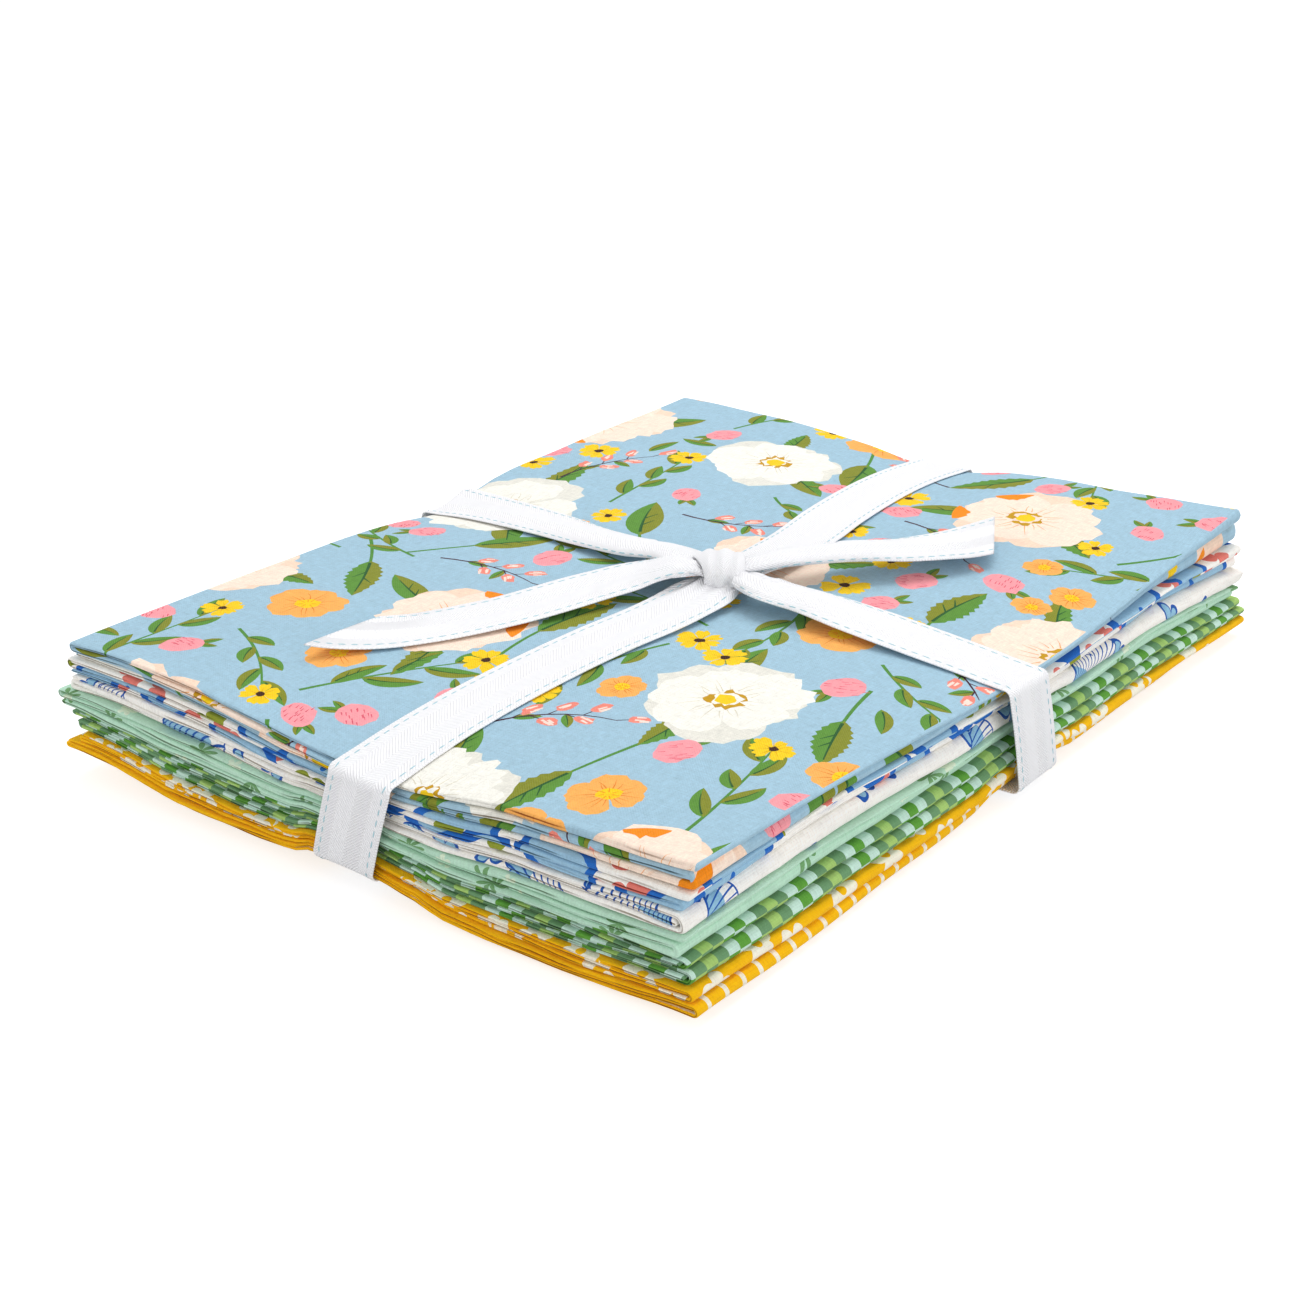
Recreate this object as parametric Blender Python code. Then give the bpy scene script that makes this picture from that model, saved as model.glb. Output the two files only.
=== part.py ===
"""A stack of eight folded cotton cuts, tied crosswise with one ribbon.

Metres, +Z up. The stack stands on z = 0. X runs along the short side, with the rolled folds at +X.
Y runs along the long side, with the layer ends that face front at -Y.
Each cut is first folded twice along its length to a strip of four plies, and this strip is folded
back and forth in three layers. A solid is that strip: one sheet, its layers a little apart.
"""

import math
from collections import namedtuple

import bmesh
import bpy
from mathutils import Matrix, Vector

# Driving sizes of the stack: a yard of 44 in cotton folds to about 9 by 11 1/4 in
STACK_WIDTH = 0.222
STACK_DEPTH = 0.286
STACK_HEIGHT = 0.0434
LAYER_GAP = 0.0003
CLOTH_GAP = 0.0005

# Driving sizes of the ribbon, a 7/8 in twill tape
RIBBON_WIDTH = 0.0215
RIBBON_THICKNESS = 0.001
RIBBON_GAP = 0.00045
RIBBON_SIDE_GAP = 0.0008
RIBBON_BEND = 0.0012
CROSSING_STEP = 0.0003

# The pressed channels in the stack's underside in which the ribbon lies, from edge to edge
CHANNEL_X = (-0.020, 0.026)
CHANNEL_Y = (-0.010, 0.028)
CHANNEL_DEPTH = 0.0018

# Grid lines on which every cloth and the ribbon have their points, so that neighbours stay parallel
GRID_X = (-0.125, -0.085, -0.050, *CHANNEL_X, 0.054, 0.085, 0.125)
GRID_Y = (-0.157, -0.125, -0.095, -0.055, *CHANNEL_Y, 0.062, 0.098, 0.125, 0.157)

# What the tight ribbon does at each side of the stack, in metres. across is the ribbon's place
# along that side, top_dip how far it pulls the top down and bottom_rise how far it lifts the bottom.
# The top's dip runs out to the corners: sharpness 1 is a straight line, and 6 stays near the ribbon
Side = namedtuple("Side", "name axis sign across top_dip sharpness bottom_rise")
SIDES = (
    Side("front", 1, -1, 0.0055, 0.0083, 1, 0.0036),
    Side("right", 0, 1, 0.0060, 0.0070, 1, 0.0),
    Side("back", 1, 1, 0.0015, 0.0073, 5, 0.0014),
    Side("left", 0, -1, 0.0150, 0.0052, 6, 0.0014),
)
DIP_REACH = 0.040
RISE_REACH = 0.045
RISE_SPREAD = 0.080
RISE_SHARPNESS = 2

# Corners of the stack: how far the bottom and the top lift there, and which share of the height the
# springing upper cuts take from the lower ones
Corner = namedtuple("Corner", "sign_x sign_y bottom_lift top_lift spring")
CORNERS = (
    Corner(-1, -1, 0.0075, 0.0, 0.0),
    Corner(1, -1, 0.0006, 0.0038, 0.10),
    Corner(1, 1, 0.0, 0.0016, 0.33),
    Corner(-1, 1, 0.0040, 0.0012, 0.10),
)
CORNER_REACH = 0.060
SPRING_POWER = 6

# The cuts, from the bottom up. share is the cut's part of the stack's height. form is roll, with
# one fold round all its layers at +X, or flap, with a thin free edge over a smaller roll at +X.
# right_front and right_back are the fold's place outside (+) or inside (-) the stack's side at
# the two ends, left_front and left_back the same at -X, front and back the same at the Y ends
Cloth = namedtuple(
    "Cloth", "name share form right_front right_back left_front left_back front back colour"
)
CLOTHS = (
    Cloth("cloth_8_yellow_stripe", 0.100, "roll", -0.0005, -0.0010, 0.0050, 0.0010, 0.0015, 0.0010,
          (0.90, 0.49, 0.01)),
    Cloth("cloth_7_yellow_floral", 0.100, "roll", -0.0020, 0.0045, -0.0010, -0.0020, 0.0010, 0.0030,
          (0.93, 0.55, 0.03)),
    Cloth("cloth_6_gingham", 0.105, "roll", -0.0034, 0.0034, 0.0005, -0.0015, 0.0000, 0.0030,
          (0.22, 0.42, 0.12)),
    Cloth("cloth_5_gingham", 0.100, "roll", -0.0047, 0.0020, 0.0020, 0.0000, 0.0005, 0.0020,
          (0.30, 0.52, 0.20)),
    Cloth("cloth_4_mint_sprig", 0.160, "flap", -0.0044, 0.0018, 0.0055, 0.0010, 0.0015, 0.0000,
          (0.52, 0.80, 0.60)),
    Cloth("cloth_3_white_line_print", 0.140, "roll", -0.0052, 0.0022, 0.0010, 0.0000, 0.0000, 0.0020,
          (0.85, 0.83, 0.80)),
    Cloth("cloth_2_white_blue_print", 0.145, "flap", -0.0036, 0.0015, 0.0015, 0.0010, 0.0000, 0.0010,
          (0.60, 0.70, 0.84)),
    Cloth("cloth_1_blue_floral", 0.150, "flap", -0.0010, 0.0005, 0.0000, 0.0000, -0.0005, 0.0010,
          (0.43, 0.64, 0.78)),
)
LAYERS = 3
FOLD_STEPS = 6
SMALL_FOLD_STEPS = 4
FOLD_SQUASH = 0.85
FREE_EDGE_STEP = 0.0015
CLOTH_ROUGHNESS = 0.85

# How unevenly the cuts' layer ends lie: the wave's height, its turns along one cut's strip, and the
# turns from one cut to the next
END_WAVE = 0.0009
WAVE_TURNS = 2.3
WAVE_OFFSET = 0.37

# The ribbon's arms over the top, from the stack's edge to the knot. x and y are the arm's middle,
# half_width half of its width there, and rise how far it stands over the cloth
Station = namedtuple("Station", "x y half_width rise")
LEFT_ARM = (
    Station(-0.085, 0.0115, 0.0103, 0.0004),
    Station(-0.050, 0.0070, 0.0092, 0.0012),
    Station(-0.020, 0.0025, 0.0073, 0.0022),
    Station(0.005, -0.0020, 0.0055, 0.0032),
)
FRONT_ARM = (
    Station(0.0068, -0.125, 0.0107, 0.0000),
    Station(0.0086, -0.095, 0.0107, 0.0002),
    Station(0.0120, -0.055, 0.0100, 0.0008),
    Station(0.0148, -0.030, 0.0086, 0.0018),
    Station(0.0165, -0.012, 0.0064, 0.0030),
)
RIGHT_ARM = (
    Station(0.085, -0.0040, 0.0082, 0.0006),
    Station(0.054, -0.0060, 0.0068, 0.0020),
    Station(0.036, -0.0080, 0.0058, 0.0032),
    Station(0.024, -0.0100, 0.0048, 0.0038),
)
BACK_ARM = (
    Station(0.0022, 0.125, 0.0104, 0.0000),
    Station(0.0045, 0.098, 0.0104, 0.0002),
    Station(0.0075, 0.062, 0.0102, 0.0006),
    Station(0.0110, 0.028, 0.0094, 0.0016),
    Station(0.0150, -0.001, 0.0066, 0.0034),
)
# The ribbon's middle on the stack's underside, where it leaves each side
FRONT_BOTTOM_X = -0.0035
BACK_BOTTOM_X = -0.0010
LEFT_BOTTOM_Y = 0.0120
RIGHT_BOTTOM_Y = 0.0130

# The knot, a tight flattened lump, and the two free tails that leave it. A tail's cut is how far
# its left edge runs past its middle, and its tip lift how far that corner curls up
KNOT_CENTRE = (0.0165, -0.0085)
KNOT_HALF = (0.0125, 0.0085, 0.0050)
KNOT_TURN = math.radians(-16)
KNOT_SEGMENTS = 14
KNOT_RINGS = 8
KNOT_GAP = 0.0006
LEFT_TAIL = (
    Station(0.0100, -0.0090, 0.0060, 0.0052),
    Station(0.0010, -0.0190, 0.0092, 0.0044),
    Station(-0.0078, -0.0325, 0.0105, 0.0028),
    Station(-0.0229, -0.0592, 0.0107, 0.0008),
    Station(-0.0360, -0.0800, 0.0107, 0.0006),
    Station(-0.0485, -0.0965, 0.0107, 0.0012),
)
LEFT_TAIL_CUT = 0.0120
LEFT_TIP_LIFT = 0.0035
RIGHT_TAIL = (
    Station(0.0220, -0.0080, 0.0055, 0.0058),
    Station(0.0310, 0.0030, 0.0072, 0.0070),
    Station(0.0375, 0.0140, 0.0086, 0.0070),
    Station(0.0447, 0.0243, 0.0098, 0.0062),
    Station(0.0510, 0.0360, 0.0106, 0.0052),
    Station(0.0570, 0.0535, 0.0107, 0.0040),
    Station(0.0630, 0.0714, 0.0107, 0.0034),
)
RIGHT_TAIL_CUT = 0.0089
RIGHT_TIP_LIFT = 0.0010
RIBBON_COLOUR = (0.91, 0.91, 0.93)
RIBBON_ROUGHNESS = 0.6


def clear_scene():
    for old in list(bpy.data.objects):
        bpy.data.objects.remove(old, do_unlink=True)


def paint(obj, colour, roughness):
    """Give obj a plain material of its own."""
    material = bpy.data.materials.new(obj.name)
    material.use_nodes = True
    shader = material.node_tree.nodes["Principled BSDF"]
    shader.inputs["Base Color"].default_value = (*colour, 1)
    shader.inputs["Roughness"].default_value = roughness
    shader.inputs["Metallic"].default_value = 0.0
    obj.data.materials.append(material)


def side_distance(side, x, y):
    """How far (x, y) lies inside one side of the stack."""
    half = (STACK_WIDTH, STACK_DEPTH)[side.axis] / 2
    return half - side.sign * (x, y)[side.axis]


def along_side(side, x, y, spread, sharpness):
    """1 under the ribbon, falling to 0 at spread from it."""
    along = (x, y)[1 - side.axis] - side.across
    away = max(0.0, abs(along) - RIBBON_WIDTH)
    return max(0.0, 1 - away / spread) ** sharpness


def corner_share(corner, x, y):
    """1 at the corner, falling to 0 at CORNER_REACH from it."""
    from_x = STACK_WIDTH / 2 - corner.sign_x * x
    from_y = STACK_DEPTH / 2 - corner.sign_y * y
    return max(0.0, 1 - from_x / CORNER_REACH) * max(0.0, 1 - from_y / CORNER_REACH)


def top_at(x, y):
    """Height of the stack's top at a grid point."""
    height = STACK_HEIGHT
    for side in SIDES:
        length = (STACK_WIDTH, STACK_DEPTH)[1 - side.axis] / 2 - RIBBON_WIDTH / 2
        inward = math.exp(-side_distance(side, x, y) / DIP_REACH)
        height -= side.top_dip * along_side(side, x, y, length, side.sharpness) * inward
    for corner in CORNERS:
        height += corner.top_lift * corner_share(corner, x, y)
    return height


def bottom_at(x, y):
    """Height of the stack's underside at a grid point."""
    rise = 0.0
    for side in SIDES:
        inward = max(0.0, 1 - side_distance(side, x, y) / RISE_REACH)
        rise += side.bottom_rise * along_side(side, x, y, RISE_SPREAD, RISE_SHARPNESS) * inward
    if CHANNEL_X[0] <= x <= CHANNEL_X[1] or CHANNEL_Y[0] <= y <= CHANNEL_Y[1]:
        rise += CHANNEL_DEPTH
    for corner in CORNERS:
        rise += corner.bottom_lift * corner_share(corner, x, y)
    return rise


def spring_at(x, y):
    """Share of the height that the upper cuts take from the lower ones at a grid point."""
    return sum(corner.spring * corner_share(corner, x, y) for corner in CORNERS)


TOP = [[top_at(x, y) for y in GRID_Y] for x in GRID_X]
BOTTOM = [[bottom_at(x, y) for y in GRID_Y] for x in GRID_X]
SPRING = [[spring_at(x, y) for y in GRID_Y] for x in GRID_X]


def pressed(column, row, share):
    """Height at a grid point of what lies at this share of the stack's height."""
    taken = SPRING[column][row] * (share - share ** SPRING_POWER)
    low = BOTTOM[column][row]
    return low + (TOP[column][row] - low) * (share - taken)


def grid_cell(lines, value):
    """Number of the grid cell that holds value, and how far across it value is."""
    cell = 0
    while cell < len(lines) - 2 and value > lines[cell + 1]:
        cell += 1
    return cell, (value - lines[cell]) / (lines[cell + 1] - lines[cell])


def level(x, y, height):
    """Where a point of the unpressed stack, height above its underside, comes to lie.

    Each grid cell is cut in two triangles from its near to its far corner.
    """
    share = height / STACK_HEIGHT
    column, across = grid_cell(GRID_X, x)
    row, along = grid_cell(GRID_Y, y)
    near = pressed(column, row, share)
    far = pressed(column + 1, row + 1, share)
    if across > along:
        corner = pressed(column + 1, row, share)
        return near + across * (corner - near) + along * (far - corner)
    corner = pressed(column, row + 1, share)
    return near + along * (corner - near) + across * (far - corner)


def fold_arc(side, middle, radius, steps):
    """Points round a fold as (x beyond the fold's middle, height, x part and z part of the normal)."""
    points = []
    for step in range(1, steps):
        angle = math.pi / 2 - math.pi * step / steps
        out_x = side * math.cos(angle)
        out_z = math.sin(angle)
        points.append((radius * out_x * FOLD_SQUASH, middle + radius * out_z, out_x, out_z))
    return points


# One line of a cloth's section: anchor is left, right or a number on GRID_X; shift is added to it
SectionPoint = namedtuple("SectionPoint", "anchor shift height normal_x normal_z")


def run_of_layer(height, facing, rightwards, start, stop):
    """One flat layer between two end points, given as (anchor, shift), on the grid's X lines."""
    lines = list(GRID_X[1:-1])
    if not rightwards:
        lines.reverse()
    points = [SectionPoint(start[0], start[1], height, 0.0, facing)]
    points += [SectionPoint(x, 0.0, height, 0.0, facing) for x in lines]
    points.append(SectionPoint(stop[0], stop[1], height, 0.0, facing))
    return points


def roll_section(base, thickness):
    """Top layer, fold at +X round everything, bottom layer, small fold at -X, middle layer."""
    pitch = thickness + LAYER_GAP
    low, middle, high = (base + thickness / 2 + pitch * n for n in range(LAYERS))
    big_x = -(pitch * FOLD_SQUASH + thickness / 2)
    small_x = pitch / 2 * FOLD_SQUASH + thickness / 2
    section = run_of_layer(high, 1.0, True, ("left", FREE_EDGE_STEP), ("right", big_x))
    for shift, height, out_x, out_z in fold_arc(1, middle, pitch, FOLD_STEPS):
        section.append(SectionPoint("right", big_x + shift, height, out_x, out_z))
    section += run_of_layer(low, -1.0, False, ("right", big_x), ("left", small_x))
    small = fold_arc(-1, (low + middle) / 2, pitch / 2, SMALL_FOLD_STEPS)
    for shift, height, out_x, out_z in reversed(small):
        section.append(SectionPoint("left", small_x + shift, height, out_x, out_z))
    section += run_of_layer(middle, 1.0, True, ("left", small_x), ("right", big_x))
    return section


def flap_section(base, thickness):
    """Top layer with a free edge at +X, fold at -X, middle layer, fold at +X, bottom layer."""
    pitch = thickness + LAYER_GAP
    low, middle, high = (base + thickness / 2 + pitch * n for n in range(LAYERS))
    fold_x = pitch / 2 * FOLD_SQUASH + thickness / 2
    section = run_of_layer(high, 1.0, False, ("right", 0.0), ("left", fold_x))
    for shift, height, out_x, out_z in fold_arc(-1, (high + middle) / 2, pitch / 2, SMALL_FOLD_STEPS):
        section.append(SectionPoint("left", fold_x + shift, height, out_x, out_z))
    inner_right = -(fold_x + FREE_EDGE_STEP)
    section += run_of_layer(middle, -1.0, True, ("left", fold_x), ("right", inner_right))
    for shift, height, out_x, out_z in fold_arc(1, (low + middle) / 2, pitch / 2, SMALL_FOLD_STEPS):
        section.append(SectionPoint("right", inner_right + shift, height, -out_x, -out_z))
    section += run_of_layer(low, 1.0, False, ("right", inner_right), ("left", FREE_EDGE_STEP))
    return section


def side_x(cloth, anchor, y):
    """X of the cloth's left or right side at y."""
    along = (y + STACK_DEPTH / 2) / STACK_DEPTH
    if anchor == "right":
        return STACK_WIDTH / 2 + cloth.right_front + (cloth.right_back - cloth.right_front) * along
    return -(STACK_WIDTH / 2 + cloth.left_front + (cloth.left_back - cloth.left_front) * along)


def end_wave(number, share):
    """How unevenly the layer ends of one cloth lie, from its number and the share of its strip."""
    return END_WAVE * math.sin(2 * math.pi * (WAVE_TURNS * share + WAVE_OFFSET * number))


def nearer_diagonal(a, b, c, d):
    """Cut a four-sided face from its lower left to its upper right corner, as the grid is cut."""
    rising = (c.co.x - a.co.x) * (c.co.y - a.co.y)
    if rising > 0:
        return (a, b, c), (a, c, d)
    return (b, c, d), (b, d, a)


def close_sheet(name, upper, lower):
    """A closed sheet from two grids of points that lie a thickness apart."""
    mesh = bmesh.new()
    rows = len(upper)
    last = len(upper[0]) - 1
    up = [[mesh.verts.new(p) for p in row] for row in upper]
    down = [[mesh.verts.new(p) for p in row] for row in lower]
    for i in range(rows - 1):
        for j in range(last):
            for grid in (up, down):
                quad = (grid[i][j], grid[i + 1][j], grid[i + 1][j + 1], grid[i][j + 1])
                for triangle in nearer_diagonal(*quad):
                    mesh.faces.new(triangle)
        for j in (0, last):
            mesh.faces.new((up[i][j], up[i + 1][j], down[i + 1][j], down[i][j]))
    for i in (0, rows - 1):
        for j in range(last):
            mesh.faces.new((up[i][j], up[i][j + 1], down[i][j + 1], down[i][j]))
    bmesh.ops.recalc_face_normals(mesh, faces=mesh.faces[:])
    data = bpy.data.meshes.new(name)
    mesh.to_mesh(data)
    mesh.free()
    obj = bpy.data.objects.new(name, data)
    bpy.context.scene.collection.objects.link(obj)
    return obj


def cloth_thickness(cloth):
    """Thickness of one layer before the ribbon presses it."""
    room = cloth.share * STACK_HEIGHT - CLOTH_GAP - (LAYERS - 1) * LAYER_GAP
    return room / LAYERS


def make_cloth(number, cloth, base):
    """One folded cut as a sheet that runs back and forth."""
    thickness = cloth_thickness(cloth)
    build_section = roll_section if cloth.form == "roll" else flap_section
    section = build_section(base, thickness)
    upper, lower = [], []
    for index, point in enumerate(section):
        wave = end_wave(number, index / (len(section) - 1))
        front = -(STACK_DEPTH / 2 + cloth.front + wave)
        back = STACK_DEPTH / 2 + cloth.back - wave
        lines = [front, *GRID_Y[1:-1], back]
        for grid, side in ((upper, 1), (lower, -1)):
            row = []
            for y in lines:
                if isinstance(point.anchor, str):
                    x = side_x(cloth, point.anchor, y) + point.shift
                else:
                    x = point.anchor
                x += side * thickness / 2 * point.normal_x
                height = point.height + side * thickness / 2 * point.normal_z
                row.append((x, y, level(x, y, height)))
            grid.append(row)
    obj = close_sheet(cloth.name, upper, lower)
    paint(obj, cloth.colour, CLOTH_ROUGHNESS)
    return obj


def ribbon_strip(name, stations):
    """A closed strip through stations, each (left edge, right edge, normal) on its inner face."""
    inner = [[left, right] for left, right, _ in stations]
    outer = []
    for left, right, normal in stations:
        step = Vector(normal).normalized() * RIBBON_THICKNESS
        outer.append([Vector(left) + step, Vector(right) + step])
    return close_sheet(name, outer, inner)


def edges_of_path(points, half_widths, cut):
    """Left and right edge points of a strip along (x, y) points; cut slants its last end."""
    edges = []
    last = len(points) - 1
    for index, (x, y) in enumerate(points):
        before = Vector(points[max(0, index - 1)])
        after = Vector(points[min(last, index + 1)])
        heading = (after - before).normalized()
        across = Vector((-heading.y, heading.x)) * half_widths[index]
        slant = heading * (cut if index == last else 0.0)
        middle = Vector((x, y))
        edges.append((middle + across + slant, middle - across - slant))
    return edges


def cloth_top_under(left, right):
    """Highest point of the stack's top between two edge points of the ribbon."""
    middle = (left + right) / 2
    return max(level(p.x, p.y, STACK_HEIGHT - CLOTH_GAP) for p in (left, middle, right))


def top_stations(stations, cut=0.0, tip_lift=0.0):
    """A run of ribbon over the stack's top."""
    points = [(s.x, s.y) for s in stations]
    edges = edges_of_path(points, [s.half_width for s in stations], cut)
    run = []
    for station, (left, right) in zip(stations, edges):
        z = cloth_top_under(left, right) + RIBBON_GAP + station.rise
        lift = tip_lift if station is stations[-1] else 0.0
        run.append(((left.x, left.y, z + lift), (right.x, right.y, z), (0, 0, 1)))
    return run


def side_reach(side):
    """How far the cloths come out where the ribbon passes one side of the stack."""
    reach = 0.0
    for cloth in CLOTHS:
        if side.axis == 1:
            end = cloth.front if side.sign < 0 else cloth.back
            reach = max(reach, STACK_DEPTH / 2 + end + END_WAVE)
        else:
            anchor = "right" if side.sign > 0 else "left"
            for y in CHANNEL_Y:
                reach = max(reach, abs(side_x(cloth, anchor, y)))
    return reach


def side_stations(side, bottom_across, lift):
    """The run of ribbon down one side, from the top edge to the underside."""
    out = side_reach(side) + RIBBON_SIDE_GAP
    half = RIBBON_WIDTH / 2
    top_inner = out - RIBBON_BEND
    run = []

    def station(outwards, z, across, slope):
        ends = []
        for edge in (-half, half):
            place = [across + edge, across + edge, z]
            place[side.axis] = side.sign * outwards
            ends.append(tuple(place))
        normal = [0.0, 0.0, math.sin(slope)]
        normal[side.axis] = side.sign * math.cos(slope)
        run.append((ends[0], ends[1], tuple(normal)))

    corners = [[side.across + edge] * 2 for edge in (-half, half)]
    for corner in corners:
        corner[side.axis] = side.sign * (out - RIBBON_SIDE_GAP)
    left, right = (Vector(corner) for corner in corners)
    high = cloth_top_under(left, right) + RIBBON_GAP
    low = min(level(p.x, p.y, 0.0) for p in (left, right)) - RIBBON_GAP - lift
    for angle in (90, 45, 0):
        slope = math.radians(angle)
        station(top_inner + RIBBON_BEND * math.cos(slope), high - RIBBON_BEND * (1 - math.sin(slope)),
                side.across, slope)
    for angle in (0, -45, -90):
        slope = math.radians(angle)
        station(top_inner + RIBBON_BEND * math.cos(slope), low + RIBBON_BEND * (1 + math.sin(slope)),
                bottom_across, slope)
    return run


def bottom_stations(axis, start_across, stop_across, lift):
    """The run of ribbon under the stack, from its -X or -Y side to the other."""
    lines = (GRID_X, GRID_Y)[axis][1:-1]
    half = RIBBON_WIDTH / 2
    run = []
    for index, at in enumerate(lines):
        across = start_across + (stop_across - start_across) * index / (len(lines) - 1)
        ends = []
        for edge in (-half, half):
            place = [across + edge, across + edge]
            place[axis] = at
            ends.append(place)
        z = min(level(x, y, 0.0) for x, y in ends) - RIBBON_GAP - lift
        run.append(((*ends[0], z), (*ends[1], z), (0, 0, -1)))
    return run


def make_loop(name, axis, first_arm, first_bottom, second_arm, second_bottom, lift):
    """The ribbon once round the stack: knot, arm, side, underside, side, arm, knot."""
    sides = {side.name: side for side in SIDES}
    first, second = (sides["left"], sides["right"]) if axis == 0 else (sides["front"], sides["back"])
    stations = swap_edges_to_match(list(reversed(top_stations(first_arm))), axis)
    stations += side_stations(first, first_bottom, lift)
    stations += bottom_stations(axis, first_bottom, second_bottom, lift)
    stations += list(reversed(side_stations(second, second_bottom, lift)))
    stations += swap_edges_to_match(top_stations(second_arm), axis)
    return ribbon_strip(name, stations)


def swap_edges_to_match(run, axis):
    """Put the edge with the smaller coordinate across the ribbon first."""
    other = 1 - axis
    return [(a, b, n) if a[other] <= b[other] else (b, a, n) for a, b, n in run]


def make_knot(name):
    """The knot: a flattened lump that the arms and tails run into."""
    half_x, half_y, half_z = KNOT_HALF
    mesh = bmesh.new()
    bmesh.ops.create_uvsphere(mesh, u_segments=KNOT_SEGMENTS, v_segments=KNOT_RINGS, radius=1.0)
    x, y = KNOT_CENTRE
    z = level(x, y, STACK_HEIGHT) + KNOT_GAP + half_z
    place = Matrix.Translation((x, y, z)) @ Matrix.Rotation(KNOT_TURN, 4, "Z")
    place = place @ Matrix.Diagonal((half_x, half_y, half_z, 1))
    bmesh.ops.transform(mesh, matrix=place, verts=mesh.verts[:])
    data = bpy.data.meshes.new(name)
    mesh.to_mesh(data)
    mesh.free()
    obj = bpy.data.objects.new(name, data)
    bpy.context.scene.collection.objects.link(obj)
    return obj


def make_ribbon():
    """One ribbon: two turns round the stack, the knot and two tails, joined into one solid."""
    ribbon = make_loop("ribbon", 0, LEFT_ARM, LEFT_BOTTOM_Y, RIGHT_ARM, RIGHT_BOTTOM_Y, CROSSING_STEP)
    helpers = [
        make_loop("front_back_turn", 1, FRONT_ARM, FRONT_BOTTOM_X, BACK_ARM, BACK_BOTTOM_X, 0.0),
        ribbon_strip("left_tail", top_stations(LEFT_TAIL, LEFT_TAIL_CUT, LEFT_TIP_LIFT)),
        ribbon_strip("right_tail", top_stations(RIGHT_TAIL, RIGHT_TAIL_CUT, RIGHT_TIP_LIFT)),
        make_knot("knot"),
    ]
    for helper in helpers:
        helper.hide_render = True
        helper.display_type = "WIRE"
        join = ribbon.modifiers.new(helper.name, "BOOLEAN")
        join.operation = "UNION"
        join.solver = "EXACT"
        join.object = helper
    paint(ribbon, RIBBON_COLOUR, RIBBON_ROUGHNESS)


def build():
    clear_scene()
    base = 0.0
    for number, cloth in enumerate(CLOTHS):
        make_cloth(number, cloth, base)
        base += cloth.share * STACK_HEIGHT
    make_ribbon()


build()
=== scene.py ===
import math

import bmesh
import bpy
import numpy as np
from mathutils import Matrix, Vector
from mathutils.geometry import delaunay_2d_cdt


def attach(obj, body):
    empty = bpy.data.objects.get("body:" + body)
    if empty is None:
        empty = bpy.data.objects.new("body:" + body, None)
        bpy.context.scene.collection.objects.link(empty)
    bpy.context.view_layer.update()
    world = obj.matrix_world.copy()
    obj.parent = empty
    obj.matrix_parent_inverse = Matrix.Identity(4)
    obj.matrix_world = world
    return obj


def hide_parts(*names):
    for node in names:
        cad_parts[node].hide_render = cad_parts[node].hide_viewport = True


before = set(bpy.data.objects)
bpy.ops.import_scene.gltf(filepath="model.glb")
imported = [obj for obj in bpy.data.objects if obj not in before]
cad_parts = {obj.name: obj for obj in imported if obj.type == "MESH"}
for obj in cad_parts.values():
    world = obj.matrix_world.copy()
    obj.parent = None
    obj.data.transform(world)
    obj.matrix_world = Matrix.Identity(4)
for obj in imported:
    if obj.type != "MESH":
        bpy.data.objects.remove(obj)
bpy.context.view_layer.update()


# Camera, floor and light
# The bundle lies on a white table under broad soft light. It is seen over its front corner through a
# longish lens, whose place was fitted to the corners of the stack in the photograph.
VIEW_AZIMUTH = math.radians(38.39)
VIEW_ELEVATION = math.radians(23.28)
VIEW_ROLL = math.radians(-1.28)
VIEW_DISTANCE = 0.7017
VIEW_TARGET = Vector((-0.0347, 0.0241, 0.0))
LENS_LENGTH = 60.0
SENSOR_WIDTH = 36.0
FLOOR_SIZE = 8.0
FLOOR_COLOUR = (0.50, 0.50, 0.505, 1.0)
FLOOR_GLOW_SEEN = 0.70
FLOOR_GLOW_AROUND = 0.18
SKY_STRENGTH = 0.62
BACKDROP_STRENGTH = 1.0
PURE_WHITE = (1.0, 1.0, 1.0, 1.0)


def placed(name, data):
    """A new object in the scene."""
    thing = bpy.data.objects.new(name, data)
    bpy.context.scene.collection.objects.link(thing)
    return thing


def glow_by_ray(tree, socket, around, seen):
    """Give a glow one strength where the camera looks straight at it, and another for other rays."""
    rays = tree.nodes.new("ShaderNodeLightPath")
    strength = tree.nodes.new("ShaderNodeMapRange")
    strength.inputs["To Min"].default_value = around
    strength.inputs["To Max"].default_value = seen
    tree.links.new(rays.outputs["Is Camera Ray"], strength.inputs["Value"])
    tree.links.new(strength.outputs["Result"], socket)


def look_at_bundle():
    """The photograph's camera."""
    flat = math.cos(VIEW_ELEVATION)
    backwards = Vector(
        (math.sin(VIEW_AZIMUTH) * flat, -math.cos(VIEW_AZIMUTH) * flat, math.sin(VIEW_ELEVATION))
    )
    level_right = Vector((math.cos(VIEW_AZIMUTH), math.sin(VIEW_AZIMUTH), 0.0))
    level_up = backwards.cross(level_right)
    right = math.cos(VIEW_ROLL) * level_right + math.sin(VIEW_ROLL) * level_up
    up = math.cos(VIEW_ROLL) * level_up - math.sin(VIEW_ROLL) * level_right
    place = Matrix((right, up, backwards)).transposed().to_4x4()
    place.translation = VIEW_TARGET + backwards * VIEW_DISTANCE
    lens = bpy.data.cameras.new("camera")
    lens.lens = LENS_LENGTH
    lens.sensor_width = SENSOR_WIDTH
    lens.clip_start = 0.01
    lens.clip_end = 20.0
    camera = placed("camera", lens)
    camera.matrix_world = place
    bpy.context.scene.camera = camera


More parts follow.
